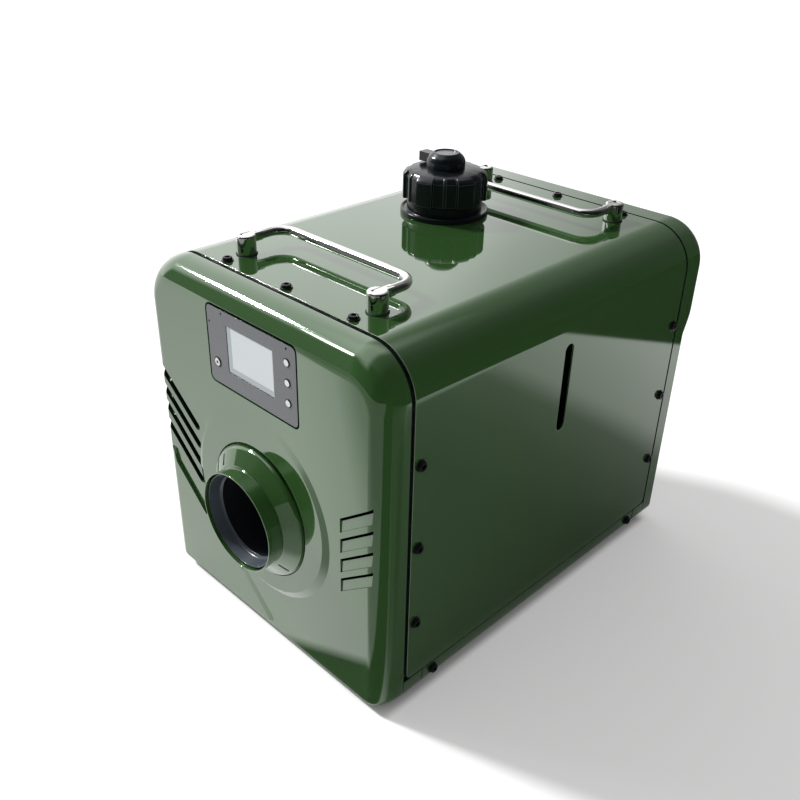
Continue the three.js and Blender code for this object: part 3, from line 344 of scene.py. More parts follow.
def soften(piece, width, segments=2, angle=30.0, edge=None):
    """Rounds the sharp edges, if wished in a lighter material of their own that paints a highlight
    on them, and keeps faces flat.
    """
    if width:
        bevel = piece.modifiers.new("edges", "BEVEL")
        bevel.material = piece.data.materials.find(edge.name) if edge else -1
        bevel.width = width * MM
        bevel.segments = segments
        bevel.limit_method = "ANGLE"
        bevel.angle_limit = math.radians(angle)
        bevel.harden_normals = False
        bevel.use_clamp_overlap = True
    weigh = piece.modifiers.new("flat faces", "WEIGHTED_NORMAL")
    weigh.weight = 100
    weigh.keep_sharp = True
    return piece


def bake(piece):
    """Applies the modifiers of a scratch object to its mesh."""
    graph = bpy.context.evaluated_depsgraph_get()
    mesh = bpy.data.meshes.new_from_object(piece.evaluated_get(graph))
    old = piece.data
    piece.modifiers.clear()
    piece.data = mesh
    bpy.data.meshes.remove(old)


def scratch(bm):
    mesh = bpy.data.meshes.new("scratch")
    bmesh.ops.recalc_face_normals(bm, faces=bm.faces)
    bm.to_mesh(mesh)
    bm.free()
    return add_object("scratch", mesh)


def combine(thing, other, operation):
    """Cuts, joins or intersects two scratch objects; the second one is used up."""
    tool = thing.modifiers.new("tool", "BOOLEAN")
    tool.operation = operation
    tool.object = other
    tool.solver = "EXACT"
    bake(thing)
    mesh = other.data
    bpy.data.objects.remove(other)
    bpy.data.meshes.remove(mesh)
    return thing


def cut(thing, *bodies):
    for bm in bodies:
        combine(thing, scratch(bm), "DIFFERENCE")
    return thing


def to_bmesh(thing):
    """A scratch object's mesh as a bmesh; the object is used up."""
    bm = bmesh.new()
    bm.from_mesh(thing.data)
    mesh = thing.data
    bpy.data.objects.remove(thing)
    bpy.data.meshes.remove(mesh)
    return bm


def loft(rings):
    """A closed skin: the first ring is filled and its face is extruded from ring to ring."""
    bm = bmesh.new()
    first = face = bm.faces.new([bm.verts.new(point) for point in rings[0]])
    for ring in rings[1:]:
        made = bmesh.ops.extrude_face_region(bm, geom=[face])["geom"]
        if face is not first:
            bmesh.ops.delete(bm, geom=[face], context="FACES_ONLY")
        face = next(part for part in made if isinstance(part, bmesh.types.BMFace))
        for vert, point in zip(face.verts, ring):
            vert.co = point
    bmesh.ops.recalc_face_normals(bm, faces=bm.faces)
    return bm


def arc(cx, cz, radius, start, end, steps):
    points = []
    for i in range(steps + 1):
        angle = math.radians(start + (end - start) * i / steps)
        points.append((cx + radius * math.cos(angle), cz + radius * math.sin(angle)))
    return points


def case_outline(side=0.0, top=0.0, foot=0.0, steps=14):
    """The case seen from the front, moved in from the sides, top and foot."""
    half = WIDTH / 2 - side
    high = HEIGHT - top
    large = TOP_CORNER - (side + top) / 2
    small = max(LOW_CORNER - (side + foot) / 2, LOW_CORNER / 3)
    return (arc(half - small, foot + small, small, -90, 0, LOW_STEPS)
            + arc(half - large, high - large, large, 0, 90, steps)
            + arc(large - half, high - large, large, 90, 180, steps)
            + arc(small - half, foot + small, small, 180, 270, LOW_STEPS))


def at_y(outline, y):
    return [Vector((x, y, z)) for x, z in outline]


def prism_y(outline, low, high):
    return loft([at_y(outline, low), at_y(outline, high)])


def prism_x(outline, low, high):
    return loft([[Vector((x, y, z)) for y, z in outline] for x in (low, high)])


def rounded_rect(left, foot, right, top, radius, steps=6):
    return (arc(right - radius, foot + radius, radius, -90, 0, steps)
            + arc(right - radius, top - radius, radius, 0, 90, steps)
            + arc(left + radius, top - radius, radius, 90, 180, steps)
            + arc(left + radius, foot + radius, radius, 180, 270, steps))


def stadium(start, end, width, steps=8):
    angle = math.degrees(math.atan2(end[1] - start[1], end[0] - start[0]))
    return (arc(*end, width / 2, angle - 90, angle + 90, steps)
            + arc(*start, width / 2, angle + 90, angle + 270, steps))


def box_bm(low, high):
    bm = bmesh.new()
    bmesh.ops.create_cube(bm, size=1.0)
    size = Vector(high) - Vector(low)
    middle = (Vector(high) + Vector(low)) / 2
    bmesh.ops.scale(bm, vec=size, verts=bm.verts)
    bmesh.ops.translate(bm, vec=middle, verts=bm.verts)
    return bm


def grown(rect, by):
    """A rectangle of left, foot, right and top, moved out on all four sides."""
    left, foot, right, top = rect
    return left - by, foot - by, right + by, top + by


def slab(rect, low, high):
    """A box with a rectangle as its front, from one y to another."""
    left, foot, right, top = rect
    return box_bm((left, low, foot), (right, high, top))


AXES = {"x": Vector((1, 0, 0)), "y": Vector((0, 1, 0)), "z": Vector((0, 0, 1))}
WELD = 0.0005
NOTHING = 0.0001


def turned(profile, axis, centre, steps=64):
    """A turned body; the profile is closed, in radius and height along the axis."""
    bm = bmesh.new()
    along = AXES[axis]
    out = AXES["x"] if axis == "z" else AXES["z"]
    verts = [bm.verts.new(centre + out * radius + along * height) for radius, height in profile]
    edges = [bm.edges.new((verts[i], verts[(i + 1) % len(verts)])) for i in range(len(verts))]
    bmesh.ops.spin(bm, geom=verts + edges, cent=centre, axis=along, angle=math.tau,
                   steps=steps, use_merge=True)
    bmesh.ops.remove_doubles(bm, verts=bm.verts, dist=WELD)
    if any(edge.calc_length() < NOTHING for edge in bm.edges):
        bmesh.ops.dissolve_degenerate(bm, dist=NOTHING, edges=bm.edges)
    axis_edges = [edge for edge in bm.edges if len(edge.link_faces) != 2]
    bmesh.ops.delete(bm, geom=axis_edges, context="EDGES")
    bmesh.ops.recalc_face_normals(bm, faces=bm.faces)
    return bm


def rounded_profile(corners, steps=3):
    """Corners are (radius, height, rounding); returns the profile with rounded corners."""
    points = []
    count = len(corners)
    for i, (r, h, rounding) in enumerate(corners):
        here = Vector((r, h))
        if not rounding:
            points.append((r, h))
            continue
        back = Vector(corners[i - 1][:2]) - here
        ahead = Vector(corners[(i + 1) % count][:2]) - here
        reach = min(rounding, back.length / 2.05, ahead.length / 2.05)
        start = here + back.normalized() * reach
        end = here + ahead.normalized() * reach
        for k in range(steps + 1):
            t = k / steps
            point = start * (1 - t) ** 2 + here * 2 * t * (1 - t) + end * t ** 2
            points.append((point.x, point.y))
    return points


def cylinder(radius, low, high, axis, centre, steps=32):
    bm = bmesh.new()
    bmesh.ops.create_cone(bm, cap_ends=True, segments=steps, radius1=radius, radius2=radius,
                          depth=high - low)
    turn = AXES["z"].rotation_difference(AXES[axis]).to_matrix()
    bmesh.ops.rotate(bm, cent=(0, 0, 0), matrix=turn, verts=bm.verts)
    bmesh.ops.translate(bm, vec=centre + AXES[axis] * (low + high) / 2, verts=bm.verts)
    return bm


def merge_into(bm, other):
    """Adds a copy of another bmesh's faces; the other one is freed."""
    mesh = bpy.data.meshes.new("scratch")
    other.to_mesh(mesh)
    other.free()
    bm.from_mesh(mesh)
    bpy.data.meshes.remove(mesh)
    return bm


def tint(bm, chosen, index=1):
    """Gives the second material, or a later one, to faces chosen by middle and normal."""
    for face in bm.faces:
        if chosen(face.calc_center_median(), face.normal):
            face.material_index = index
    return bm


# covers

def inside_case(place):
    """How far a point lies inside the outline of the case."""
    across = abs(place.x) - (WIDTH / 2 - TOP_CORNER)
    above = place.z - (HEIGHT - TOP_CORNER)
    if across > 0 and above > 0:
        return TOP_CORNER - math.hypot(across, above)
    return min(WIDTH / 2 - abs(place.x), HEIGHT - place.z, place.z)


def hull_rings(seam_y, end_y, depth, side, top, foot, wall=0.0, end_wall=0.0, steps=12):
    """A cover's outline from its seam to its end, rounded over on the way."""
    way = 1.0 if end_y > seam_y else -1.0
    end = end_y - way * end_wall
    reach = depth - end_wall
    rings = [at_y(case_outline(wall, wall, wall), seam_y)]
    for i in range(steps + 1):
        angle = i / steps * math.pi / 2
        share = 1 - math.cos(angle)
        y = end - way * reach * (1 - math.sin(angle))
        rings.append(at_y(case_outline(wall + share * (side - wall), wall + share * (top - wall),
                                       wall + share * (foot - wall / 2)), y))
    return rings


FRONT_ROUND = {"depth": 22.0, "side": 14.0, "top": 20.0, "foot": 5.0}
REAR_ROUND = {"depth": 9.0, "side": 7.0, "top": 9.0, "foot": 4.0}
HOLLOW_START = 0.5
TONGUE_GAP = 0.3
TONGUE_WALL = 2.6
TONGUE_FLOOR = 1.8
REBATE_DEPTH = 1.0
REBATE_WIDTH = 1.2
COVER_EDGE = 0.45
SHEET_EDGE = 0.35


def tongue(low, high):
    """The part of a cover under the shell, with flush tabs at the foot."""
    under = SHEET + TONGUE_GAP
    inner = under + TONGUE_WALL
    body = scratch(prism_y(case_outline(under, under, 0), low, high))
    tabs = scratch(prism_y(case_outline(), low, high))
    foot = box_bm((-WIDTH, low - PAST, -PAST), (WIDTH, high + PAST, PANEL_FOOT - FOOT_GAP))
    combine(tabs, scratch(foot), "INTERSECT")
    combine(body, tabs, "UNION")
    return cut(body, prism_y(case_outline(inner, inner, TONGUE_FLOOR), low - PAST, high + PAST))


def rebate(hull, low, high):
    """A shallow step in a cover's outside next to its seam."""
    around = case_outline(-REBATE_WIDTH, -REBATE_WIDTH, -REBATE_WIDTH)
    core = case_outline(REBATE_DEPTH, REBATE_DEPTH, REBATE_DEPTH)
    band = scratch(prism_y(around, low, high))
    cut(band, prism_y(core, low - PAST, high + PAST))
    combine(hull, band, "DIFFERENCE")


def seam_shade_black(bm, seam_y, way):
    """Painted shade: black on what a cover hides under the shell and on the step beside its seam.
    """
    start = seam_y - way * (REBATE_WIDTH + HAIR)
    return tint(bm, lambda place, _: (place.y - start) * way > 0
                and inside_case(place) > REBATE_DEPTH / 2)


# the left recess with its four slots, in millimetres on the front face, the depth from which the
# slots' walls get painted shade, and the place of the shade paint among the cover's materials
RECESS = [(-133, 208.8), (-118, 196), (-73.6, 166.6), (-69.8, 163.4), (-67.2, 159),
          (-65, 153), (-62, 131), (-61, 109), (-66, 86), (-78.5, 71), (-113, 105),
          (-115.5, 115.5), (-133, 115.5)]
RECESS_DEPTH = 2.2
RECESS_FLARE = 1.4
RECESS_START = 0.6
SLOTS = [((-127, 190.5), (-80.5, 152.7)), ((-127, 174.5), (-80.2, 135.9)),
         ((-127, 159.7), (-81.2, 119.3)), ((-127, 142.3), (-81.7, 102.2))]
SLOT_FIELD = (-132, 90, -74, 200)
SLOT_CUT = 12.0
SLOT_WIDTH = 7.0
SLOT_SHADE_FROM = 3.0
SHADE_PLACE = 2
# the slanting groove
GROOVE = ((-28, 40), (3, 12))
GROOVE_WIDTH = 8.0
GROOVE_DEPTH = 1.6
# the louvres on the right
LOUVRE_X = (89.3, 120.5)
LOUVRE_Z = 157.8
LOUVRE_ROWS = 4
LOUVRE_RISE = 23.9
LOUVRE_PITCH = 17.3
LOUVRE_TALL = 11.8
LOUVRE_DEPTH = 1.3
LOUVRE_STEP = 0.8
LOUVRE_START = 0.5
LOUVRE_SLIT = 2.8
# the plateau round the outlet
PLATEAU_R = 78.0
PLATEAU_TOP = 72.0
PLATEAU_ROOT = 3.0
PLATEAU_RISE = 1.7
PLATEAU_STEPS = 128
PLATEAU_NEAR = 0.06
SEAT = ((55.7, 0.0), (47.9, -8.0))
SEAT_STEPS = 96
SPIGOT_HOLE = 37.7
# the opening for the display
PANEL = (-48.75, 209.5, 48.75, 269.1)
PANEL_CORNER = 4.0
PANEL_BORDER = 1.5
BEZEL_FLANGE = 3.0
BEZEL_GAP = 0.3


def plateau():
    """A raised disc with a chamfer: flush at the top and highest at its foot."""
    root, edge, top = [], [], []
    for i in range(PLATEAU_STEPS):
        angle = i / PLATEAU_STEPS * math.tau
        across, up = math.sin(angle), math.cos(angle)
        rise = PLATEAU_RISE * (1 - PLATEAU_TOP / PLATEAU_R * up)
        x, z = PLATEAU_R * across, PLATEAU_Z + PLATEAU_R * up
        root.append(Vector((x, FACE_Y + PLATEAU_ROOT, z)))
        edge.append(Vector((x, FACE_Y, z)))
        top.append(Vector((PLATEAU_TOP * across, FACE_Y - rise, PLATEAU_Z + PLATEAU_TOP * up)))
    return loft([root, edge, top])


def crisp_plateau(bm):
    """Marks the two rims of the chamfer sharp, so that its band reads."""
    for line in bm.edges:
        reach = [math.hypot(vert.co.x, vert.co.z - PLATEAU_Z) for vert in line.verts]
        near = any(max(abs(r - rim) for r in reach) < PLATEAU_NEAR
                   for rim in (PLATEAU_TOP, PLATEAU_R))
        if near and all(vert.co.y < FACE_Y + 2 * BELOW for vert in line.verts):
            line.smooth = False
    return bm


def in_louvres(place):
    left, right = LOUVRE_X
    foot = LOUVRE_Z - LOUVRE_ROWS * LOUVRE_PITCH
    top = LOUVRE_Z + LOUVRE_RISE
    return left - PAST < place.x < right + PAST and foot < place.z < top + PAST and place.y < 0


def in_slots(place):
    left, foot, right, top = SLOT_FIELD
    return (left < place.x < right and foot < place.z < top
            and FACE_Y + RECESS_DEPTH + BELOW < place.y < 0)


def cover_look(bm):
    """Painted shade: black in the seam and the louvres' openings, dark green in the slots' walls.
    """
    seam_shade_black(bm, -FRONT_SEAM, 1)
    # painted shade: the louvres' openings and the faces behind them are black
    tint(bm, lambda place, normal: in_louvres(place)
         and (normal.z > 0.5 or place.y > FACE_Y + LOUVRE_DEPTH + BELOW))
    # painted shade: the slots' walls a few millimetres in get the dark green paint
    tint(bm, lambda place, normal: in_slots(place) and abs(normal.y) < 0.5
         and place.y > FACE_Y + RECESS_DEPTH + SLOT_SHADE_FROM, index=SHADE_PLACE)
    return crisp_plateau(bm)


def recess_cut():
    """The left recess, with an edge that flares out to the face."""
    middle = Vector((sum(x for x, _ in RECESS), sum(z for _, z in RECESS))) / len(RECESS)
    flared = [(x + math.copysign(RECESS_FLARE, x - middle.x),
               z + math.copysign(RECESS_FLARE, z - middle.y)) for x, z in RECESS]
    return loft([at_y(flared, FACE_Y - RECESS_START), at_y(flared, FACE_Y),
                 at_y(RECESS, FACE_Y + RECESS_FLARE), at_y(RECESS, FACE_Y + RECESS_DEPTH)])


def groove_cut():
    """The slanting groove: flush along its lower edge and deepest along its upper one."""
    bm = prism_y(stadium(*GROOVE, GROOVE_WIDTH), FACE_Y - PAST, FACE_Y + GROOVE_DEPTH + PAST)
    start, end = (Vector(point) for point in GROOVE)
    along = (end - start).normalized()
    slope = GROOVE_DEPTH / GROOVE_WIDTH
    middle = (start + end) / 2
    bmesh.ops.bisect_plane(
        bm, geom=[*bm.verts, *bm.edges, *bm.faces], clear_outer=True,
        plane_co=(middle.x, FACE_Y + GROOVE_DEPTH / 2, middle.y),
        plane_no=(slope * along.y, 1, -slope * along.x))
    bmesh.ops.holes_fill(bm, edges=[edge for edge in bm.edges if edge.is_boundary])
    return bm


def seat_cut():
    """The hole for the outlet, a cone a little wider than the nozzle's skirt."""
    last = SEAT_STEPS - 1
    return loft([at_y(arc(0, OUTLET_Z, radius, 0, 360 * last / SEAT_STEPS, last), FACE_Y + y)
                 for radius, y in SEAT])


def louvre_cuts():
    """For each louvre a wedge, shallower at its foot, and a deep slit along its top."""
    front, back = FACE_Y - LOUVRE_START, FACE_Y + LOUVRE_DEPTH
    step, deep = FACE_Y + LOUVRE_STEP, FACE_Y + FRONT_DEPTH / 2
    cuts = []
    for row in range(LOUVRE_ROWS):
        z = LOUVRE_Z - row * LOUVRE_PITCH
        wedge, slit = [], []
        for x, top in zip(LOUVRE_X, (z, z + LOUVRE_RISE)):
            foot = top - LOUVRE_TALL
            wedge.append([Vector((x, front, top)), Vector((x, back, top)),
                          Vector((x, step, foot)), Vector((x, front, foot))])
            foot = top - LOUVRE_SLIT
            slit.append([Vector((x, FACE_Y, top)), Vector((x, deep, top)),
                         Vector((x, deep, foot)), Vector((x, FACE_Y, foot))])
        cuts += [loft(wedge), loft(slit)]
    return cuts


def make_front_cover():
    seam = -FRONT_SEAM
    hull = scratch(loft(hull_rings(seam, FACE_Y, **FRONT_ROUND)))
    combine(hull, scratch(plateau()), "UNION")
    cut(hull, loft(hull_rings(seam + HOLLOW_START, FACE_Y, **FRONT_ROUND, wall=COVER_WALL,
                              end_wall=FACE_WALL)))
    rebate(hull, seam - REBATE_WIDTH, seam + PAST)
    combine(hull, tongue(seam - TONGUE_ROOT, TONGUE), "UNION")
    opening = rounded_rect(*grown(PANEL, PANEL_BORDER), PANEL_CORNER + PANEL_BORDER)
    behind = rounded_rect(*grown(PANEL, BEZEL_FLANGE + BEZEL_GAP), PANEL_CORNER)
    cut(hull,
        seat_cut(),
        cylinder(SPIGOT_HOLE, FACE_Y - PAST, FACE_BACK + PAST, "y", OUTLET, steps=64),
        prism_y(opening, FACE_Y - PAST, FACE_BACK + PAST),
        prism_y(behind, FACE_BACK, seam),
        recess_cut(),
        *[prism_y(stadium(*slot, SLOT_WIDTH), FACE_Y - PAST, FACE_Y + SLOT_CUT)
          for slot in SLOTS],
        groove_cut(),
        *louvre_cuts())
    cover = finish_piece("front_cover_skin", cover_look(to_bmesh(hull)), "housing",
                         ["front_cover"],
                         [green_paint, satin_black, slot_shade_paint, paint_highlight_edge])
    return soften(cover, COVER_EDGE, edge=paint_highlight_edge)


# the rear cover's round guard of slots, the pipes' holes as x, z and radius, the power inlet
GUARD_R = 48.0
GUARD_ROWS = 3
GUARD_PITCH = 13.5
GUARD_SLOT = 7.0
PIPE_HOLES = ((-20, 32, 12.4), (20, 32, 11.4))
PIPE_CUT = 60.0
POWER_HOLE = (-94.8, 52.2, -75.2, 67.8)
POWER_CUT = 14.0
FAR = 60.0


def rear_profile(inset):
    """The rear cover from the side, thick above the kink and thin below it, moved in."""
    low_y = REAR_LOW_Y - inset
    high_y = REAR_Y - inset
    return prism_x([(DEPTH - FAR, -FAR), (low_y, -FAR), (low_y, KINK_LOW), (high_y, KINK_TOP),
                    (high_y, HEIGHT + FAR), (DEPTH - FAR, HEIGHT + FAR)], -WIDTH, WIDTH)


def guard_cuts():
    cuts = []
    for row in range(-GUARD_ROWS, GUARD_ROWS + 1):
        z = row * GUARD_PITCH
        half = math.sqrt(GUARD_R ** 2 - z ** 2) - GUARD_SLOT / 2
        slot = stadium((-half, OUTLET_Z + z), (half, OUTLET_Z + z), GUARD_SLOT)
        cuts.append(prism_y(slot, REAR_LOW_Y - COVER_WALL - PAST, REAR_LOW_Y + PAST))
    return cuts


def make_rear_cover():
    seam = DEPTH + REAR_SEAM
    hull = scratch(loft(hull_rings(seam, REAR_Y, **REAR_ROUND)))
    combine(hull, scratch(rear_profile(0)), "INTERSECT")
    hollow = scratch(loft(hull_rings(seam - HOLLOW_START, REAR_Y, **REAR_ROUND, wall=COVER_WALL,
                                     end_wall=COVER_WALL)))
    combine(hollow, scratch(rear_profile(COVER_WALL)), "INTERSECT")
    combine(hull, hollow, "DIFFERENCE")
    rebate(hull, seam - PAST, seam + REBATE_WIDTH)
    combine(hull, tongue(DEPTH - TONGUE + FRONT_SEAM, seam + TONGUE_ROOT), "UNION")
    cut(hull, *guard_cuts(),
        *[cylinder(radius, 0, PIPE_CUT, "y", Vector((x, DEPTH, z)), steps=48)
          for x, z, radius in PIPE_HOLES],
        slab(POWER_HOLE, REAR_LOW_Y - POWER_CUT, REAR_Y))
    cover = finish_piece("rear_cover_skin", seam_shade_black(to_bmesh(hull), seam, -1), "housing",
                         ["rear_cover"], [green_paint, satin_black, paint_highlight_edge])
    return soften(cover, COVER_EDGE, edge=paint_highlight_edge)


# main shell: its corners at the foot, the sight slot as y and z, and the filler's hole
SHELL_CORNER = 5.0
SIGHT_SLOT = ((162, 171), (162, 234))
SIGHT_WIDTH = 10.0
FILLER_HOLE = 26.4
HOLE_CUT = 20.0


def make_shell():
    shell = scratch(prism_y(case_outline(steps=20), FRONT_SEAM, DEPTH - REAR_SEAM))
    panel = rounded_rect(FRONT_SEAM, PANEL_FOOT, DEPTH - REAR_SEAM, HEIGHT * 2, SHELL_CORNER)
    combine(shell, scratch(prism_x(panel, -WIDTH, WIDTH)), "INTERSECT")
    inner = case_outline(SHEET, SHEET, -HEIGHT, steps=20)
    cut(shell, prism_y(inner, -PAST, DEPTH + PAST),
        prism_x(stadium(*SIGHT_SLOT, SIGHT_WIDTH, steps=12), WIDTH / 2 - HOLE_CUT, WIDTH),
        cylinder(FILLER_HOLE, -HOLE_CUT, HOLE_CUT, "z", FILLER, steps=48))
    # painted shade: the shell's front edge beside the seam is black
    bm = tint(to_bmesh(shell),
              lambda place, normal: normal.y < -0.9 and place.y < FRONT_SEAM + 2 * BELOW)
    piece = finish_piece("main_shell_skin", bm, "housing", ["main_shell"],
                         [green_paint, satin_black, paint_highlight_edge])
    return soften(piece, SHEET_EDGE, edge=paint_highlight_edge)


# base tray, from the foot up
TRAY_FRONT = TONGUE + FOOT_GAP
TRAY_REAR = DEPTH - TONGUE + FRONT_SEAM - FOOT_GAP
TRAY_PLATE = 2.0
LIP_Z = 2.1
LIP_HALF = 114.5
LIP_ENDS = ((5.8, 26.0), (TRAY_REAR - 8.6, 314.0))
SADDLE_HALF = 45.0
SADDLE_Y = (60.0, 255.0)
SADDLE_THICK = 3.0
HEATER_Z = OUTLET_Z - 58.0
UPRIGHT_X = (-96.0, -94.0)
UPRIGHT_Y = (90.0, 250.0)
TANK_Z = 190.0


def tray_parts():
    """The lips that reach into the covers, two saddles for the heater and an upright."""
    lips = [box_bm((-LIP_HALF, start, LIP_Z), (LIP_HALF, end, LIP_Z + TRAY_PLATE))
            for start, end in LIP_ENDS]
    saddles = [box_bm((-SADDLE_HALF, y, TRAY_PLATE), (SADDLE_HALF, y + SADDLE_THICK, HEATER_Z))
               for y in SADDLE_Y]
    upright = box_bm((UPRIGHT_X[0], UPRIGHT_Y[0], TRAY_PLATE),
                     (UPRIGHT_X[1], UPRIGHT_Y[1], TANK_Z))
    return [*lips, *saddles, upright]


def make_tray():
    tray = scratch(prism_y(case_outline(), TRAY_FRONT, TRAY_REAR))
    flanges = box_bm((-WIDTH, 0, -PAST), (WIDTH, DEPTH, PANEL_FOOT - FOOT_GAP))
    combine(tray, scratch(flanges), "INTERSECT")
    cut(tray, prism_y(case_outline(SHEET, SHEET, TRAY_PLATE), TRAY_FRONT - PAST,
                      TRAY_REAR + PAST))
    bm = to_bmesh(tray)
    for part in tray_parts():
        merge_into(bm, part)
    piece = finish_piece("base_tray_skin", bm, "housing", ["base_tray"],
                         [green_paint])
    return soften(piece, SHEET_EDGE)


FEET = ("foot_front_left", "foot_front_right", "foot_rear_left", "foot_rear_right")
# corners of turned profiles here and below: radius, height along the axis and rounding
FOOT_PROFILE = [(0, 0, 0), (11, 0, 0.4), (9.4, -FOOT_DROP, 1.2), (3.6, -FOOT_DROP, 0.4),
                (3, -FOOT_DROP / 2, 0.3), (0, -FOOT_DROP / 2, 0)]


def make_feet():
    for name in FEET:
        low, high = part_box(name)
        centre = PLACE.inverted() @ ((low + high) / 2)
        centre.z = 0
        bm = turned(rounded_profile(FOOT_PROFILE), "z", centre, steps=40)
        soften(finish_piece(name + "_rubber", bm, "housing", [name], [rubber]),
               0)


# warm-air outlet

SHOULDER = (51.2, -4.4)
CONE_FOOT = (40.6, -11.0)
SHOULDER_Y = FACE_Y + SHOULDER[1]
CONE_FOOT_Y = FACE_Y + CONE_FOOT[1]
BORE = 38.6
NOZZLE_PROFILE = [
    (36.1, FACE_Y + 8, 0), (37.4, FACE_Y + 8, 0), (37.4, FACE_Y, 0), (55.5, FACE_Y, 0),
    (SHOULDER[0], SHOULDER_Y, 0.35), (CONE_FOOT[0], CONE_FOOT_Y, 0.25),
    (39.3, CONE_FOOT_Y - 0.2, 0.15), (39.3, CONE_FOOT_Y - 0.9, 0.15),
    (39.6, CONE_FOOT_Y - 1.1, 0.15), (39.6, RIM_Y, 0.4), (BORE, RIM_Y, 0.4),
    (BORE, SHOULDER_Y, 0), (36.1, SHOULDER_Y, 0)]
LINER_PROFILE = [
    (37.5, RIM_Y + 2.5, 0.2), (37.5, RIM_Y + 8, 0.3), (38.3, RIM_Y + 9, 0.2),
    (38.3, FACE_Y - 4.7, 0.3), (35.9, FACE_Y - 4.7, 0.3), (35.9, 12.5, 0.2), (34, 12.5, 0.2),
    (34, RIM_Y + 13.5, 0.5), (32.8, RIM_Y + 12.4, 0.5), (34.6, RIM_Y + 11, 0.9),
    (36.8, RIM_Y + 2.5, 0.2)]
LINER_LIP = 37.2
LINER_GREY = 12.2
# the two slits in the cone: their turns round the outlet, length, width and depth
SLIT_TURNS = (131.0, 316.0)
SLIT = (10.0, 2.0, 1.2)
SLIT_SKIN = 0.15


def slit_cut(turn):
    """A slit that lies along the slope of the cone."""
    length, width, depth = SLIT
    reach = (length - width) / 2
    bm = prism_y(stadium((0, -reach), (0, reach), width), -depth / 2, depth / 2)
    slope = math.atan2(SHOULDER[1] - CONE_FOOT[1], SHOULDER[0] - CONE_FOOT[0])
    bmesh.ops.rotate(bm, cent=(0, 0, 0), matrix=Matrix.Rotation(-slope, 3, "X"), verts=bm.verts)
    middle = (Vector(SHOULDER) + Vector(CONE_FOOT)) / 2
    bmesh.ops.translate(bm, vec=(0, FACE_Y + middle.y, middle.x), verts=bm.verts)
    bmesh.ops.rotate(bm, cent=(0, 0, 0), matrix=Matrix.Rotation(math.radians(turn), 3, "Y"),
                     verts=bm.verts)
    bmesh.ops.translate(bm, vec=OUTLET, verts=bm.verts)
    return bm


def from_outlet(place):
    """How far a point lies from the outlet's axis."""
    return math.hypot(place.x, place.z - OUTLET_Z)


def below_cone(place):
    """True for the walls of the slits, which lie under the skin of the cone."""
    share = (place.y - CONE_FOOT_Y) / (SHOULDER_Y - CONE_FOOT_Y)
    skin = CONE_FOOT[0] + share * (SHOULDER[0] - CONE_FOOT[0])
    return 0 < share < 1 and BORE + SLIT_SKIN < from_outlet(place) < skin - SLIT_SKIN


def make_nozzle():
    body = scratch(turned(rounded_profile(NOZZLE_PROFILE, 4), "y", OUTLET, steps=128))
    cut(body, *[slit_cut(turn) for turn in SLIT_TURNS])
    # painted shade: the walls of the slits are black
    bm = tint(to_bmesh(body), lambda place, _: below_cone(place))
    piece = finish_piece("outlet_nozzle_skin", bm, "housing", ["outlet_nozzle"],
                         [green_paint, satin_black])
    return soften(piece, 0)


def make_liner():
    """Black, with a grey slope just inside the rim."""
    bm = turned(rounded_profile(LINER_PROFILE, 3), "y", OUTLET, steps=96)
    tint(bm, lambda place, _: place.y < RIM_Y + LINER_GREY and from_outlet(place) < LINER_LIP)
    piece = finish_piece("outlet_liner_skin", bm, "housing", ["outlet_liner"],
                         [black_plastic, liner_grey])
    return soften(piece, 0)


# display: rectangles of left, foot, right and top, and depths behind the face

SCREEN = (-26.8, 222.9, 24.8, 259.0)
FIELD = (-21.8, 227.7, 24.0, 258.2)
BEZEL_BACK = 8.3
BEZEL_WALL = 1.0
HOLLOW_CORNER = 2.0
HOLLOW_DEPTH = 5.2
FRAME_LIP = 2.0
FRAME_DEPTH = 1.4
BOARD_DEPTH = 6.0
GLASS_DEPTH = 0.3
GLASS_GAP = 0.15
GLASS_FLANGE = 1.9
GLASS_STEP = 1.5
# name, place, radius and the two radii between which the key is white
KEYS = (("key_left", -39.7, 226.2, 3.7, 1.2, 2.9), ("key_upper", 39.6, 255.9, 2.9, 0.0, 2.4),
        ("key_middle", 39.6, 240.9, 2.9, 0.0, 2.4), ("key_lower", 39.6, 225.5, 2.9, 0.0, 2.4))
KEY_GAP = 0.3
KEY_PROUD = 0.6
KEY_ROUND = 0.4
KEY_FLANGE = 1.0
KEY_BACK = 5.28
KEY_END = 7.2
# small dents in the bezel: place and radius
DOTS = ((39.4, 266.0, 0.9), (-31.7, 266.3, 0.8), (-46.4, 256.2, 0.8))
DOT_DEPTH = 0.6
# colours of the screen's margin and of its field
MARGIN_COLOURS = ((0.34, 0.38, 0.39, 1), (0.38, 0.42, 0.43, 1))
FIELD_COLOURS = ((0.56, 0.60, 0.61, 1), (0.60, 0.64, 0.65, 1))
HAZE_SCALE = 40.0
SCREEN_ROUGH = 0.12


def make_screen_material():
    """A switched-off display: pale glass with a lighter active field and a thin edge."""
    material, shader = new_material("screen_glass")
    tree = material.node_tree
    left, foot, right, top = FIELD
    low = PLACE @ Vector((left, 0, foot))
    high = PLACE @ Vector((right, 0, top))
    x, _, z = coordinates(tree, "Object")
    field = times(tree, between(tree, x, low.x, high.x), between(tree, z, low.z, high.z))
    haze = noise(tree, HAZE_SCALE, GRAIN_DETAIL)
    margin = blended(tree, haze, *MARGIN_COLOURS, "RGBA")
    active = blended(tree, haze, *FIELD_COLOURS, "RGBA")
    join(tree, blended(tree, field, margin, active, "RGBA"), shader.inputs["Base Color"])
    shader.inputs["Roughness"].default_value = SCREEN_ROUGH
    return material


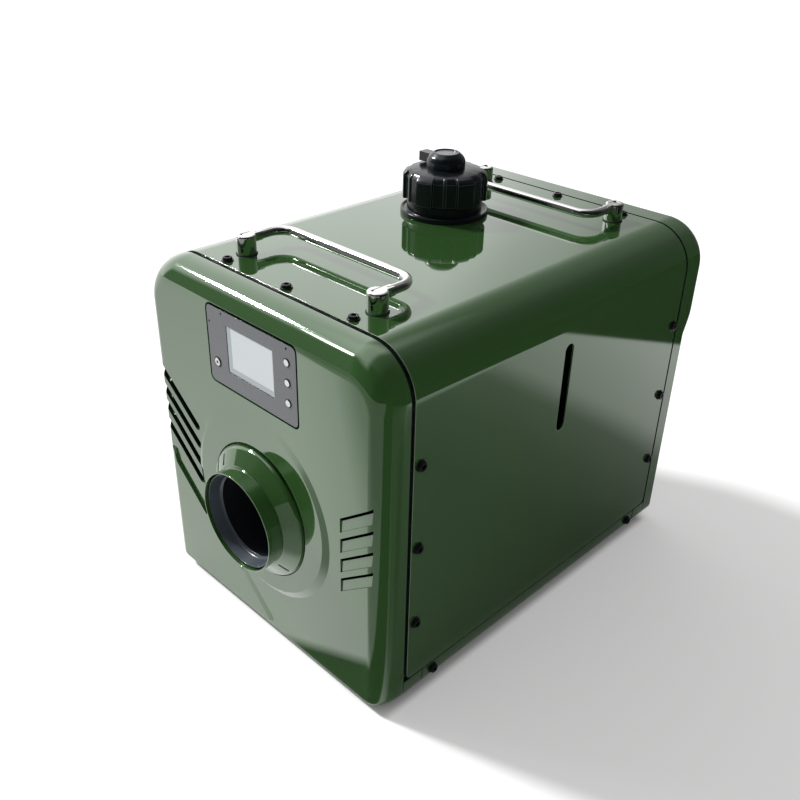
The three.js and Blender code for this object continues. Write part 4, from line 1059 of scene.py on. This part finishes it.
def make_bezel():
    """A plate in the cover's opening, wider and hollow behind it."""
    plate = scratch(prism_y(rounded_rect(*PANEL, PANEL_CORNER), FACE_Y, FACE_BACK))
    flange = rounded_rect(*grown(PANEL, BEZEL_FLANGE), PANEL_CORNER)
    combine(plate, scratch(prism_y(flange, FACE_BACK, FACE_Y + BEZEL_BACK)), "UNION")
    hollow = rounded_rect(*grown(PANEL, BEZEL_WALL), HOLLOW_CORNER)
    cut(plate,
        prism_y(hollow, FACE_Y + HOLLOW_DEPTH, FACE_Y + BEZEL_BACK + PAST),
        slab(SCREEN, FACE_Y - PAST, FACE_Y + BOARD_DEPTH),
        slab(grown(SCREEN, FRAME_LIP), FACE_Y + FRAME_DEPTH, FACE_Y + BOARD_DEPTH),
        *[cylinder(radius + KEY_GAP, FACE_Y - PAST, FACE_Y + BOARD_DEPTH + PAST, "y",
                   Vector((x, 0, z))) for _, x, z, radius, _, _ in KEYS],
        *[cylinder(radius, FACE_Y - PAST, FACE_Y + DOT_DEPTH, "y", Vector((x, 0, z)), steps=16)
          for x, z, radius in DOTS])
    # painted shade: every face of the bezel behind its front is black, in the screen's recess, the
    # keys' holes and the small dents
    bm = tint(to_bmesh(plate), lambda place, _: place.y > FACE_Y + BELOW)
    bezel = finish_piece("display_bezel_skin", bm, "housing", ["display_bezel"],
                         [bezel_grey, satin_black])
    return soften(bezel, 0.25)


def make_glass():
    glass = scratch(slab(grown(SCREEN, GLASS_FLANGE), FACE_Y + GLASS_STEP,
                         FACE_Y + HOLLOW_DEPTH))
    front = slab(grown(SCREEN, -GLASS_GAP), FACE_Y + GLASS_DEPTH, FACE_Y + FRAME_LIP)
    combine(glass, scratch(front), "UNION")
    screen = finish_piece("display_screen_skin", to_bmesh(glass), "housing",
                          ["display_screen"], [make_screen_material()])
    return soften(screen, 0.15)


def key_profile(radius, white_from, white_to):
    """A key with a wide foot behind the bezel; its front has a corner at each colour change."""
    front = FACE_Y - KEY_PROUD
    back = FACE_Y + KEY_BACK
    end = FACE_Y + KEY_END
    inner = [(white_from, front, 0)] if white_from else []
    wide = radius + KEY_FLANGE
    return rounded_profile([
        (0, front, 0), *inner, (white_to, front, 0), (radius, front, KEY_ROUND),
        (radius, back, 0), (wide, back, 0), (wide, back + KEY_FLANGE, 0),
        (radius / 2, back + KEY_FLANGE, 0), (radius / 2, end, 0), (0, end, 0)])


def make_keys():
    """White keys with a dark ring; the left one has a dark middle too."""
    for name, x, z, radius, white_from, white_to in KEYS:
        bm = turned(key_profile(radius, white_from, white_to), "y", Vector((x, 0, z)), steps=40)
        tint(bm, lambda place, _: place.y > FACE_Y - KEY_PROUD + HAIR
             or not white_from <= math.hypot(place.x - x, place.z - z) <= white_to)
        soften(finish_piece(name + "_cap", bm, name + "_body", [name],
                            [key_white, key_ring]), 0)


# carrying handles

POST_X = 69.5
# each handle's y and the way in which it folds
HANDLES = (("front", 26.3, 1.0), ("rear", 294.6, -1.0))
PIN_Z = HEIGHT + 11.5
PIN_HOLE = 1.55
PIN_REACH = 7.0
POST_TOP = HEIGHT + 15
POST_R = 7.4
POST_PROFILE = [(0, HEIGHT, 0), (POST_R, HEIGHT, 0), (POST_R, POST_TOP, 1.8), (0, POST_TOP, 0)]
RING_PROFILE = [(7.5, HEIGHT, 0.1), (8.1, HEIGHT, 0.2), (8.0, HEIGHT + 0.9, 0.3),
                (7.5, HEIGHT + 0.9, 0.2)]
FORK_HALF = 2.7
FORK_BACK = 3.9
FORK_FRONT = 16.0
FORK_DEPTH = 3.7
BAIL_R = 3.6
BAIL_START = 9.0
BAIL_REACH = 35.0
BAIL_BEND = 14.0
BAIL_STEPS = 14
LUG_LENGTH = 12.3
LUG_TALL = 6.6
LUG_HALF = 2.5


def swept(points, radius, sides=24):
    """A round bar along points, closed at both ends."""
    rings = []
    across = None
    for i, point in enumerate(points):
        ahead = (points[min(i + 1, len(points) - 1)] - points[max(i - 1, 0)]).normalized()
        if across is None:
            across = ahead.cross(AXES["z"]).normalized()
        across = (across - ahead * across.dot(ahead)).normalized()
        third = ahead.cross(across)
        rings.append([point + across * radius * math.cos(k / sides * math.tau)
                      + third * radius * math.sin(k / sides * math.tau) for k in range(sides)])
    return loft(rings)


def bail_path(y, inward):
    """A flat bow from one lug to the other, with a round bend at each corner."""
    start = y + inward * BAIL_START
    far = y + inward * BAIL_REACH
    points = [Vector((-POST_X, start, PIN_Z))]
    for side in (-1, 1):
        for k in range(BAIL_STEPS + 1):
            angle = math.radians(90 * (k if side < 0 else BAIL_STEPS - k) / BAIL_STEPS)
            points.append(Vector((side * (POST_X - BAIL_BEND + BAIL_BEND * math.cos(angle)),
                                  far - inward * BAIL_BEND * (1 - math.sin(angle)), PIN_Z)))
    points.append(Vector((POST_X, start, PIN_Z)))
    return points


def make_post(name, x, y, inward):
    """A round post, forked for the bail's lug, with a thin ring round its foot."""
    centre = Vector((x, y, 0))
    post = scratch(turned(rounded_profile(POST_PROFILE, 5), "z", centre))
    back, front = sorted((y - inward * FORK_BACK, y + inward * FORK_FRONT))
    cut(post,
        box_bm((x - FORK_HALF, back, PIN_Z - FORK_DEPTH), (x + FORK_HALF, front, POST_TOP + PAST)),
        cylinder(PIN_HOLE, -PIN_REACH, PIN_REACH, "x", Vector((x, y, PIN_Z)), steps=24))
    piece = finish_piece(f"handle_post_{name}_skin", to_bmesh(post), "housing",
                         [f"handle_post_{name}"], [chrome])
    soften(piece, 0.3)
    ring = turned(rounded_profile(RING_PROFILE), "z", centre, steps=48)
    finish_piece(f"handle_post_ring_{name}", ring, "housing", [], [rubber])


def make_bail(end, y, inward):
    bail = scratch(swept(bail_path(y, inward), BAIL_R))
    for x in (-POST_X, POST_X):
        lug = stadium((y, PIN_Z), (y + inward * LUG_LENGTH, PIN_Z), LUG_TALL, steps=10)
        combine(bail, scratch(prism_x(lug, x - LUG_HALF, x + LUG_HALF)), "UNION")
    cut(bail, cylinder(PIN_HOLE, -WIDTH / 2, WIDTH / 2, "x", Vector((0, y, PIN_Z)), steps=24))
    piece = finish_piece(f"handle_bail_{end}_skin", to_bmesh(bail), f"{end}_handle",
                         [f"handle_bail_{end}"], [chrome])
    soften(piece, 0.25, angle=40)


def make_handles():
    for end, y, inward in HANDLES:
        make_post(f"{end}_left", -POST_X, y, inward)
        make_post(f"{end}_right", POST_X, y, inward)
        make_bail(end, y, inward)


# fuel filler, cap and vent knob: heights above the shell's top

COLLAR_PROFILE = [
    (22, -5, 0), (25.9, -5, 0), (25.9, 0, 0), (36.5, 0, 0.4), (36.5, 4, 0.7), (34.5, 4, 0.5),
    (34.3, 2.8, 0.4), (31, 2.8, 0.5), (31, 11.6, 0.6), (27.5, 11.6, 0.3), (27.5, 31, 0.5),
    (22, 31, 0.5)]


def make_collar():
    bm = turned(rounded_profile(COLLAR_PROFILE, 3), "z", FILLER, steps=96)
    piece = finish_piece("filler_collar_skin", bm, "housing", ["filler_collar"],
                         [satin_black])
    return soften(piece, 0)


# the cap from its foot to its top: height, and radius of the pads and of the hollows
CAP_RINGS = [(12.0, 34.2, 31.9), (12.6, 35.0, 32.4), (31.4, 35.0, 32.4), (34.2, 33.0, 30.6),
             (35.4, 30.4, 29.2), (36.0, 28.6, 28.2), (38.0, 16.4, 16.4)]
CAP_BORE = (28.2, 11.0, 32.5)
KNOB_BORE = (5.08, 35.0, 39.0)
# the grip: how far each sixth of it lies in from the pads, by angle from a rib
GRIP_PARTS = 6
GRIP_TURN = -48.0
GRIP = ((-30.0, 0.0), (-25.0, 0.0), (-20.5, 0.0), (-17.8, 0.0), (-16.6, 1.0), (-9.0, 1.0),
        (-2.4, 1.0), (-1.7, 0.5), (0.0, 0.45), (1.7, 0.5), (2.4, 1.0), (9.0, 1.0),
        (16.6, 1.0), (17.8, 0.0), (20.5, 0.0), (25.0, 0.0))


def grip_ring(z, radius, root):
    """One round of the cap: six pads, and between them six hollows with a thin rib."""
    ring = []
    for part in range(GRIP_PARTS):
        for place, share in GRIP:
            angle = math.radians(GRIP_TURN + part * 360 / GRIP_PARTS + place)
            reach = radius - (radius - root) * share
            ring.append(FILLER + Vector((reach * math.cos(angle), reach * math.sin(angle), z)))
    return ring


def make_cap():
    body = scratch(loft([grip_ring(*ring) for ring in CAP_RINGS]))
    cut(body, cylinder(*CAP_BORE, "z", FILLER, steps=64), cylinder(*KNOB_BORE, "z", FILLER))
    soften(finish_piece("fuel_cap_skin", to_bmesh(body), "cap", ["fuel_cap"],
                        [satin_black, plastic_highlight_edge]), 0.4, edge=plastic_highlight_edge)


KNOB_PROFILE = [
    (0, 35, 0), (5, 35, 0), (5, 38, 0), (15.4, 38, 0.2), (15.8, 38.6, 0.3), (15.8, 43.4, 0.8),
    (14.2, 46.4, 1.2), (10.6, 49.5, 0.6), (9.3, 49.5, 0.4), (9.0, 48.6, 0.3), (0, 48.6, 0)]
LEVER = ((-27.0, -3.5, 38.0), (-7.0, 5.5, 45.5))
DISC_R = 9.0
DISC_Z = HEIGHT + 48


def make_knob():
    """A round knob with a short lever and a grey disc sunk into its top."""
    knob = scratch(turned(rounded_profile(KNOB_PROFILE, 4), "z", FILLER, steps=96))
    low, high = (FILLER + Vector(corner) for corner in LEVER)
    combine(knob, scratch(box_bm(low, high)), "UNION")
    bm = tint(to_bmesh(knob), lambda place, normal: normal.z > 0.9 and place.z > DISC_Z
              and (place - FILLER).to_2d().length < DISC_R)
    soften(finish_piece("cap_vent_knob_skin", bm, "vent_knob", ["cap_vent_knob"],
                        [satin_black, bezel_grey, plastic_highlight_edge]),
           0.45, segments=3, angle=40, edge=plastic_highlight_edge)


# screws

SCREW_PROFILE = [(0, -5.4), (1.9, -5.4), (1.9, 0), (4.5, 0), (4.5, 0.5), (4.3, 0.8),
                 (3.7, 0.85), (3.6, 1.0), (3.6, 2.3), (3.4, 2.75), (2.9, 3.0), (0, 3.0)]
HEX = (2.0, 1.5, 4.0)
SCREW_EDGE = 0.12
SCREW_ROWS = (("front", 7.4), ("rear", DEPTH - 7.3))
TOP_PITCH = 67.3
SIDE_PITCH = 67.0
SIDE_Z = 138.1
# the low ones on the side flanges
LOW_SCREWS = (("right_front", 1, 28.8), ("right_rear", 1, 292.5), ("left_front", -1, 28.8),
              ("left_rear", -1, 292.5))
LOW_Z = 11.4


def screw_bm(axis, place, sign=1.0):
    """A button head with a hex recess and a short shank."""
    screw = scratch(turned([(r, sign * h) for r, h in SCREW_PROFILE], axis, place, steps=32))
    recess = cylinder(*HEX, "z", Vector((0, 0, 0)), steps=6)
    turn = AXES["z"].rotation_difference(AXES[axis] * sign).to_matrix()
    bmesh.ops.rotate(recess, cent=(0, 0, 0), matrix=turn, verts=recess.verts)
    bmesh.ops.translate(recess, vec=place, verts=recess.verts)
    return to_bmesh(cut(screw, recess))


def finish_screw(name, bm, nodes):
    soften(finish_piece(name, bm, "housing", nodes, [black_steel]), SCREW_EDGE)


def make_screws():
    for end, y in SCREW_ROWS:
        for i in range(3):
            top = Vector(((i - 1) * TOP_PITCH, y, HEIGHT))
            name = f"screw_top_{end}_{i + 1}"
            finish_screw(name + "_skin", screw_bm("z", top), [name])
            z = SIDE_Z + (i - 1) * SIDE_PITCH
            name = f"screw_side_{end}_{i + 1}"
            finish_screw(name + "_skin", screw_bm("x", Vector((WIDTH / 2, y, z))), [name])
            left = screw_bm("x", Vector((-WIDTH / 2, y, z)), -1.0)
            finish_screw(f"screw_left_{end}_{i + 1}", left, [])
    for name, side, y in LOW_SCREWS:
        place = Vector((side * WIDTH / 2, y, LOW_Z))
        finish_screw(f"screw_low_{name}", screw_bm("x", place, side), [])


def dress_hidden():
    """Materials for the CAD nodes that stay as they are."""
    looks = {"steel_plain": plain_steel, "alloy_cast": cast_alloy, "tank_plastic": tank_plastic,
             "circuit_board": circuit_green, "rubber_black": rubber, "plastic_black": black_plastic,
             "steel_polished": chrome, "green_cover": green_paint, "green_sheet": green_paint,
             "steel_black": black_steel, "plastic_grey": bezel_grey, "key_white": key_white,
             "screen_glass": bezel_grey}
    slots = {row["node"]: row["material_slot"] for row in frame["record"]["subparts"]}
    for name, node in frame["nodes"].items():
        node.data.materials.clear()
        node.data.materials.append(looks[slots[name]])


dress_hidden()
make_front_cover()
make_rear_cover()
make_shell()
make_tray()
make_feet()
make_nozzle()
make_liner()
make_bezel()
make_glass()
make_keys()
make_handles()
make_collar()
make_cap()
make_knob()
make_screws()


# floor: how pale it is where the paint mirrors it, along x, y or a slanting way, in metres; the
# dips paint shadow and the values over 1 paint light into the reflections

FRONT_WAY = (0.6, -0.8)
FRONT_FADE = ((0.0, 0.85), (0.1, 1.0), (0.17, 1.15), (0.2, 1.1), (0.225, 1.0), (0.235, 0.8),
              (0.25, 0.5), (0.262, 0.42), (0.30, 0.4), (0.38, 0.36), (0.5, 0.25))
RIGHT_FADE = ((-0.185, 1.0), (-0.165, 0.25), (0.10, 0.26), (0.20, 0.36), (0.34, 0.7),
              (0.50, 0.95))
RIGHT_EDGE = ((0.115, 0.0), (0.15, 1.0))
CORNER_WAY = (0.45, 1.0)
CORNER_FADE = ((-0.177, 1.0), (-0.166, 0.05))
CORNER_REACH = ((-0.180, 1.0), (-0.176, 0.0))
SHEET_WAY = (0.56, 0.83)
SHEET_END = ((0.612, 1.0), (0.622, 0.02))
# the ground under the object, where no light is added for the camera
UNDER_X = ((-0.136, 0.0), (-0.130, 1.0), (0.128, 1.0), (0.134, 0.0))
UNDER_Y = ((-0.178, 0.0), (-0.175, 1.0), (0.172, 1.0), (0.180, 0.0))
SHADOW_LIFT = 0.28
CAMERA_TONE = 0.25
FLOOR_HALF = 6.0


def floor_light_and_shade(tree, x, y, path):
    """A factor on the paper's colour: a little over 1 in view, and in mirror rays varied by place,
    which paints shadow and light into the paint's reflections.
    """
    front = ramp(tree, weighed(tree, x, y, *FRONT_WAY), FRONT_FADE)
    end = ramp(tree, weighed(tree, x, y, *SHEET_WAY), SHEET_END)
    right = blended(tree, ramp(tree, x, RIGHT_EDGE), 1.0, ramp(tree, y, RIGHT_FADE))
    corner = blended(tree, ramp(tree, y, CORNER_REACH), 1.0,
                     ramp(tree, weighed(tree, x, y, *CORNER_WAY), CORNER_FADE))
    mirror_shade = times(tree, times(tree, times(tree, front, end), right), corner)
    plain = added(tree, times(tree, path["Is Camera Ray"], CAMERA_TONE), 1.0)
    return blended(tree, path["Is Glossy Ray"], plain, mirror_shade)


def make_floor_material():
    """White paper; in view it glows faintly, which lifts the shadow."""
    material = grained("floor_paper", (0.76, 0.76, 0.755), (0.78, 0.78, 0.775), (0.8, 0.9),
                       patch=3.0, grain=300.0, depth=0.02)
    tree = material.node_tree
    shader = next(node for node in tree.nodes if node.type == "BSDF_PRINCIPLED")
    output = next(node for node in tree.nodes if node.type == "OUTPUT_MATERIAL")
    shader.inputs["Specular IOR Level"].default_value = 0.0
    x, y, _ = coordinates(tree, "Object")
    path = tree.nodes.new("ShaderNodeLightPath").outputs
    tone = tree.nodes.new("ShaderNodeVectorMath")
    tone.operation = "SCALE"
    join(tree, shader.inputs["Base Color"].links[0].from_socket, tone.inputs[0])
    join(tree, floor_light_and_shade(tree, x, y, path), tone.inputs["Scale"])
    join(tree, tone.outputs[0], shader.inputs["Base Color"])
    under = times(tree, ramp(tree, x, UNDER_X), ramp(tree, y, UNDER_Y))
    lift = blended(tree, under, SHADOW_LIFT, 0.0)
    white = tree.nodes.new("ShaderNodeEmission")
    blend = tree.nodes.new("ShaderNodeMixShader")
    join(tree, times(tree, path["Is Camera Ray"], lift), blend.inputs[0])
    join(tree, shader.outputs[0], blend.inputs[1])
    join(tree, white.outputs[0], blend.inputs[2])
    join(tree, blend.outputs[0], output.inputs[0])
    return material


def make_floor():
    bm = bmesh.new()
    bmesh.ops.create_grid(bm, x_segments=1, y_segments=1, size=FLOOR_HALF)
    mesh = bpy.data.meshes.new("floor")
    bm.to_mesh(mesh)
    bm.free()
    mesh.materials.append(make_floor_material())
    add_object("floor", mesh)


# each lamp: the way to it, its strength and its angle across
LAMPS = {"key": ((-0.75, -0.24, 0.62), 3.8, 7.0), "edge": ((-0.665, -0.36, 0.655), 0.12, 6.0)}


def make_lamps():
    """A soft key lamp from the left and a weak one beside it that draws out its gleam."""
    for name, (way, strength, angle) in LAMPS.items():
        data = bpy.data.lights.new(name, "SUN")
        data.energy = strength
        data.angle = math.radians(angle)
        light = add_object(name, data)
        light.location = Vector(way) * 2
        light.rotation_mode = "QUATERNION"
        light.rotation_quaternion = (-Vector(way)).to_track_quat("-Z", "Y")


# brightness of the room, from the left wall to the right one and from the front to the back
ACROSS = ((-1.0, 1.5), (-0.8, 1.6), (-0.7, 1.5), (-0.62, 1.55), (-0.58, 1.15), (-0.56, 1.0),
          (-0.52, 0.82), (-0.5, 0.66), (-0.47, 0.6), (-0.42, 0.45), (-0.35, 0.33), (-0.2, 0.25),
          (0.1, 0.2), (0.3, 0.12), (0.6, 0.03), (1.0, 0.01))
ALONG = ((-1.0, 0.12), (-0.46, 0.1), (-0.34, 1.0), (1.0, 1.0))
# a bright ceiling over the left half, seen only in mirror rays
OVERHEAD = ((0.70, 0.0), (0.86, 1.1), (1.0, 1.1))
OVERHEAD_END = ((-0.1, 1.0), (0.08, 0.0))
ROOM_LEVEL = 0.8
AMBIENT = 0.54
AMBIENT_SHARE = 0.5


def make_world():
    """White behind the object; the room is bright on the left and dark on the right."""
    world = bpy.data.worlds.new("studio")
    bpy.context.scene.world = world
    world.use_nodes = True
    tree = world.node_tree
    tree.nodes.clear()
    x, y, z = coordinates(tree, "Generated")
    room = times(tree, ramp(tree, x, ACROSS), ramp(tree, y, ALONG))
    overhead = times(tree, ramp(tree, z, OVERHEAD), ramp(tree, x, OVERHEAD_END))
    mirrored = added(tree, room, overhead)
    soft = added(tree, times(tree, room, AMBIENT_SHARE), AMBIENT)
    path = tree.nodes.new("ShaderNodeLightPath").outputs
    level = times(tree, blended(tree, path["Is Glossy Ray"], soft, mirrored), ROOM_LEVEL)
    background = tree.nodes.new("ShaderNodeBackground")
    background.inputs["Color"].default_value = (1, 1, 1, 1)
    join(tree, blended(tree, path["Is Camera Ray"], level, 1.0), background.inputs["Strength"])
    output = tree.nodes.new("ShaderNodeOutputWorld")
    join(tree, background.outputs[0], output.inputs[0])


make_floor()
make_lamps()
make_world()

bpy.context.scene.view_settings.view_transform = "Standard"
